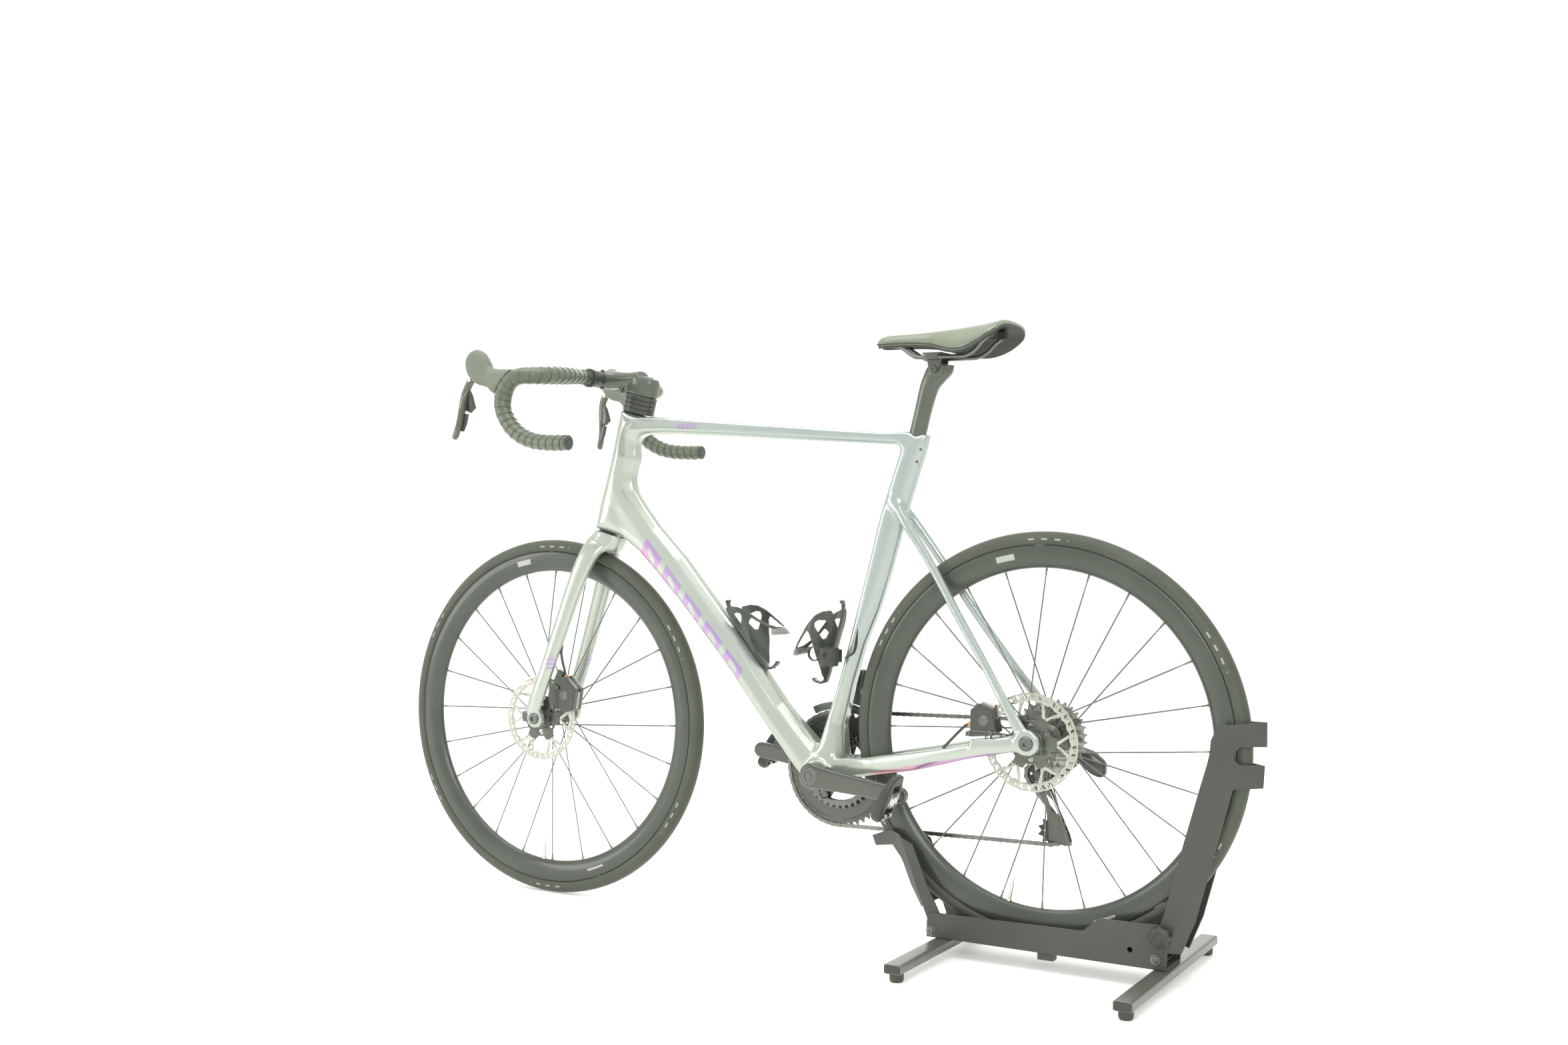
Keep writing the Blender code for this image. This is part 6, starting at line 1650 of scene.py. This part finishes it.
forward = Vector((0.4924, -0.8704, -0.0039)).normalized()
camera = bpy.data.objects.new("camera", bpy.data.cameras.new("camera"))
camera.data.lens = 38.4675
camera.data.sensor_width = 36.0
camera.data.clip_end = 60
up = Vector((0.0134, 0.0031, 0.9999)).normalized()
side = forward.cross(up).normalized()
up = side.cross(forward).normalized()
turned = Matrix((side, up, -forward)).transposed().to_4x4()
camera.matrix_world = Matrix.Translation((-1.4662, 2.6038, 0.7318)) @ turned
bpy.context.scene.collection.objects.link(camera)
bpy.context.scene.camera = camera

scene_world = bpy.data.worlds.new("studio")
bpy.context.scene.world = scene_world
scene_world.use_nodes = True
back = scene_world.node_tree.nodes["Background"]
back.inputs["Strength"].default_value = 1.05
n = Nodes(scene_world)
parts = n.new("ShaderNodeSeparateXYZ", Vector=n.new("ShaderNodeTexCoord").outputs["Generated"])
spread = n.new("ShaderNodeMapRange", Value=parts.outputs[1], **{"From Min": -1.0, "From Max": 1.0})
# faintly green light from behind, plain white from the camera's side
BEHIND, CAMERA_SIDE = (1.0, 1.04, 0.96), (1.0, 1.0, 1.0)
n.put(back.inputs["Color"], n.colours(spread.outputs[0], (0.0, BEHIND), (0.5, BEHIND), (1.0, CAMERA_SIDE)))


def lamp(name, at, target, size, power):
    light = bpy.data.lights.new(name, "AREA")
    light.shape = "RECTANGLE"
    light.size, light.size_y = size
    light.energy = power
    ob = bpy.data.objects.new(name, light)
    ob.location = at
    ob.rotation_euler = (Vector(target) - Vector(at)).to_track_quat("-Z", "Y").to_euler()
    bpy.context.scene.collection.objects.link(ob)


lamp("top", (0.0, 0.5, 3.4), (0, 0, 0.5), (3.6, 2.0), 70)
lamp("key", (-2.2, 3.4, 2.4), (0, 0, 0.6), (2.2, 1.4), 45)
lamp("fill", (3.0, 2.4, 1.3), (0.1, 0, 0.5), (0.9, 2.2), 28)
lamp("rim", (1.2, -3.0, 2.0), (0, 0, 0.6), (2.6, 1.6), 35)
bpy.context.scene.view_settings.view_transform = "Standard"
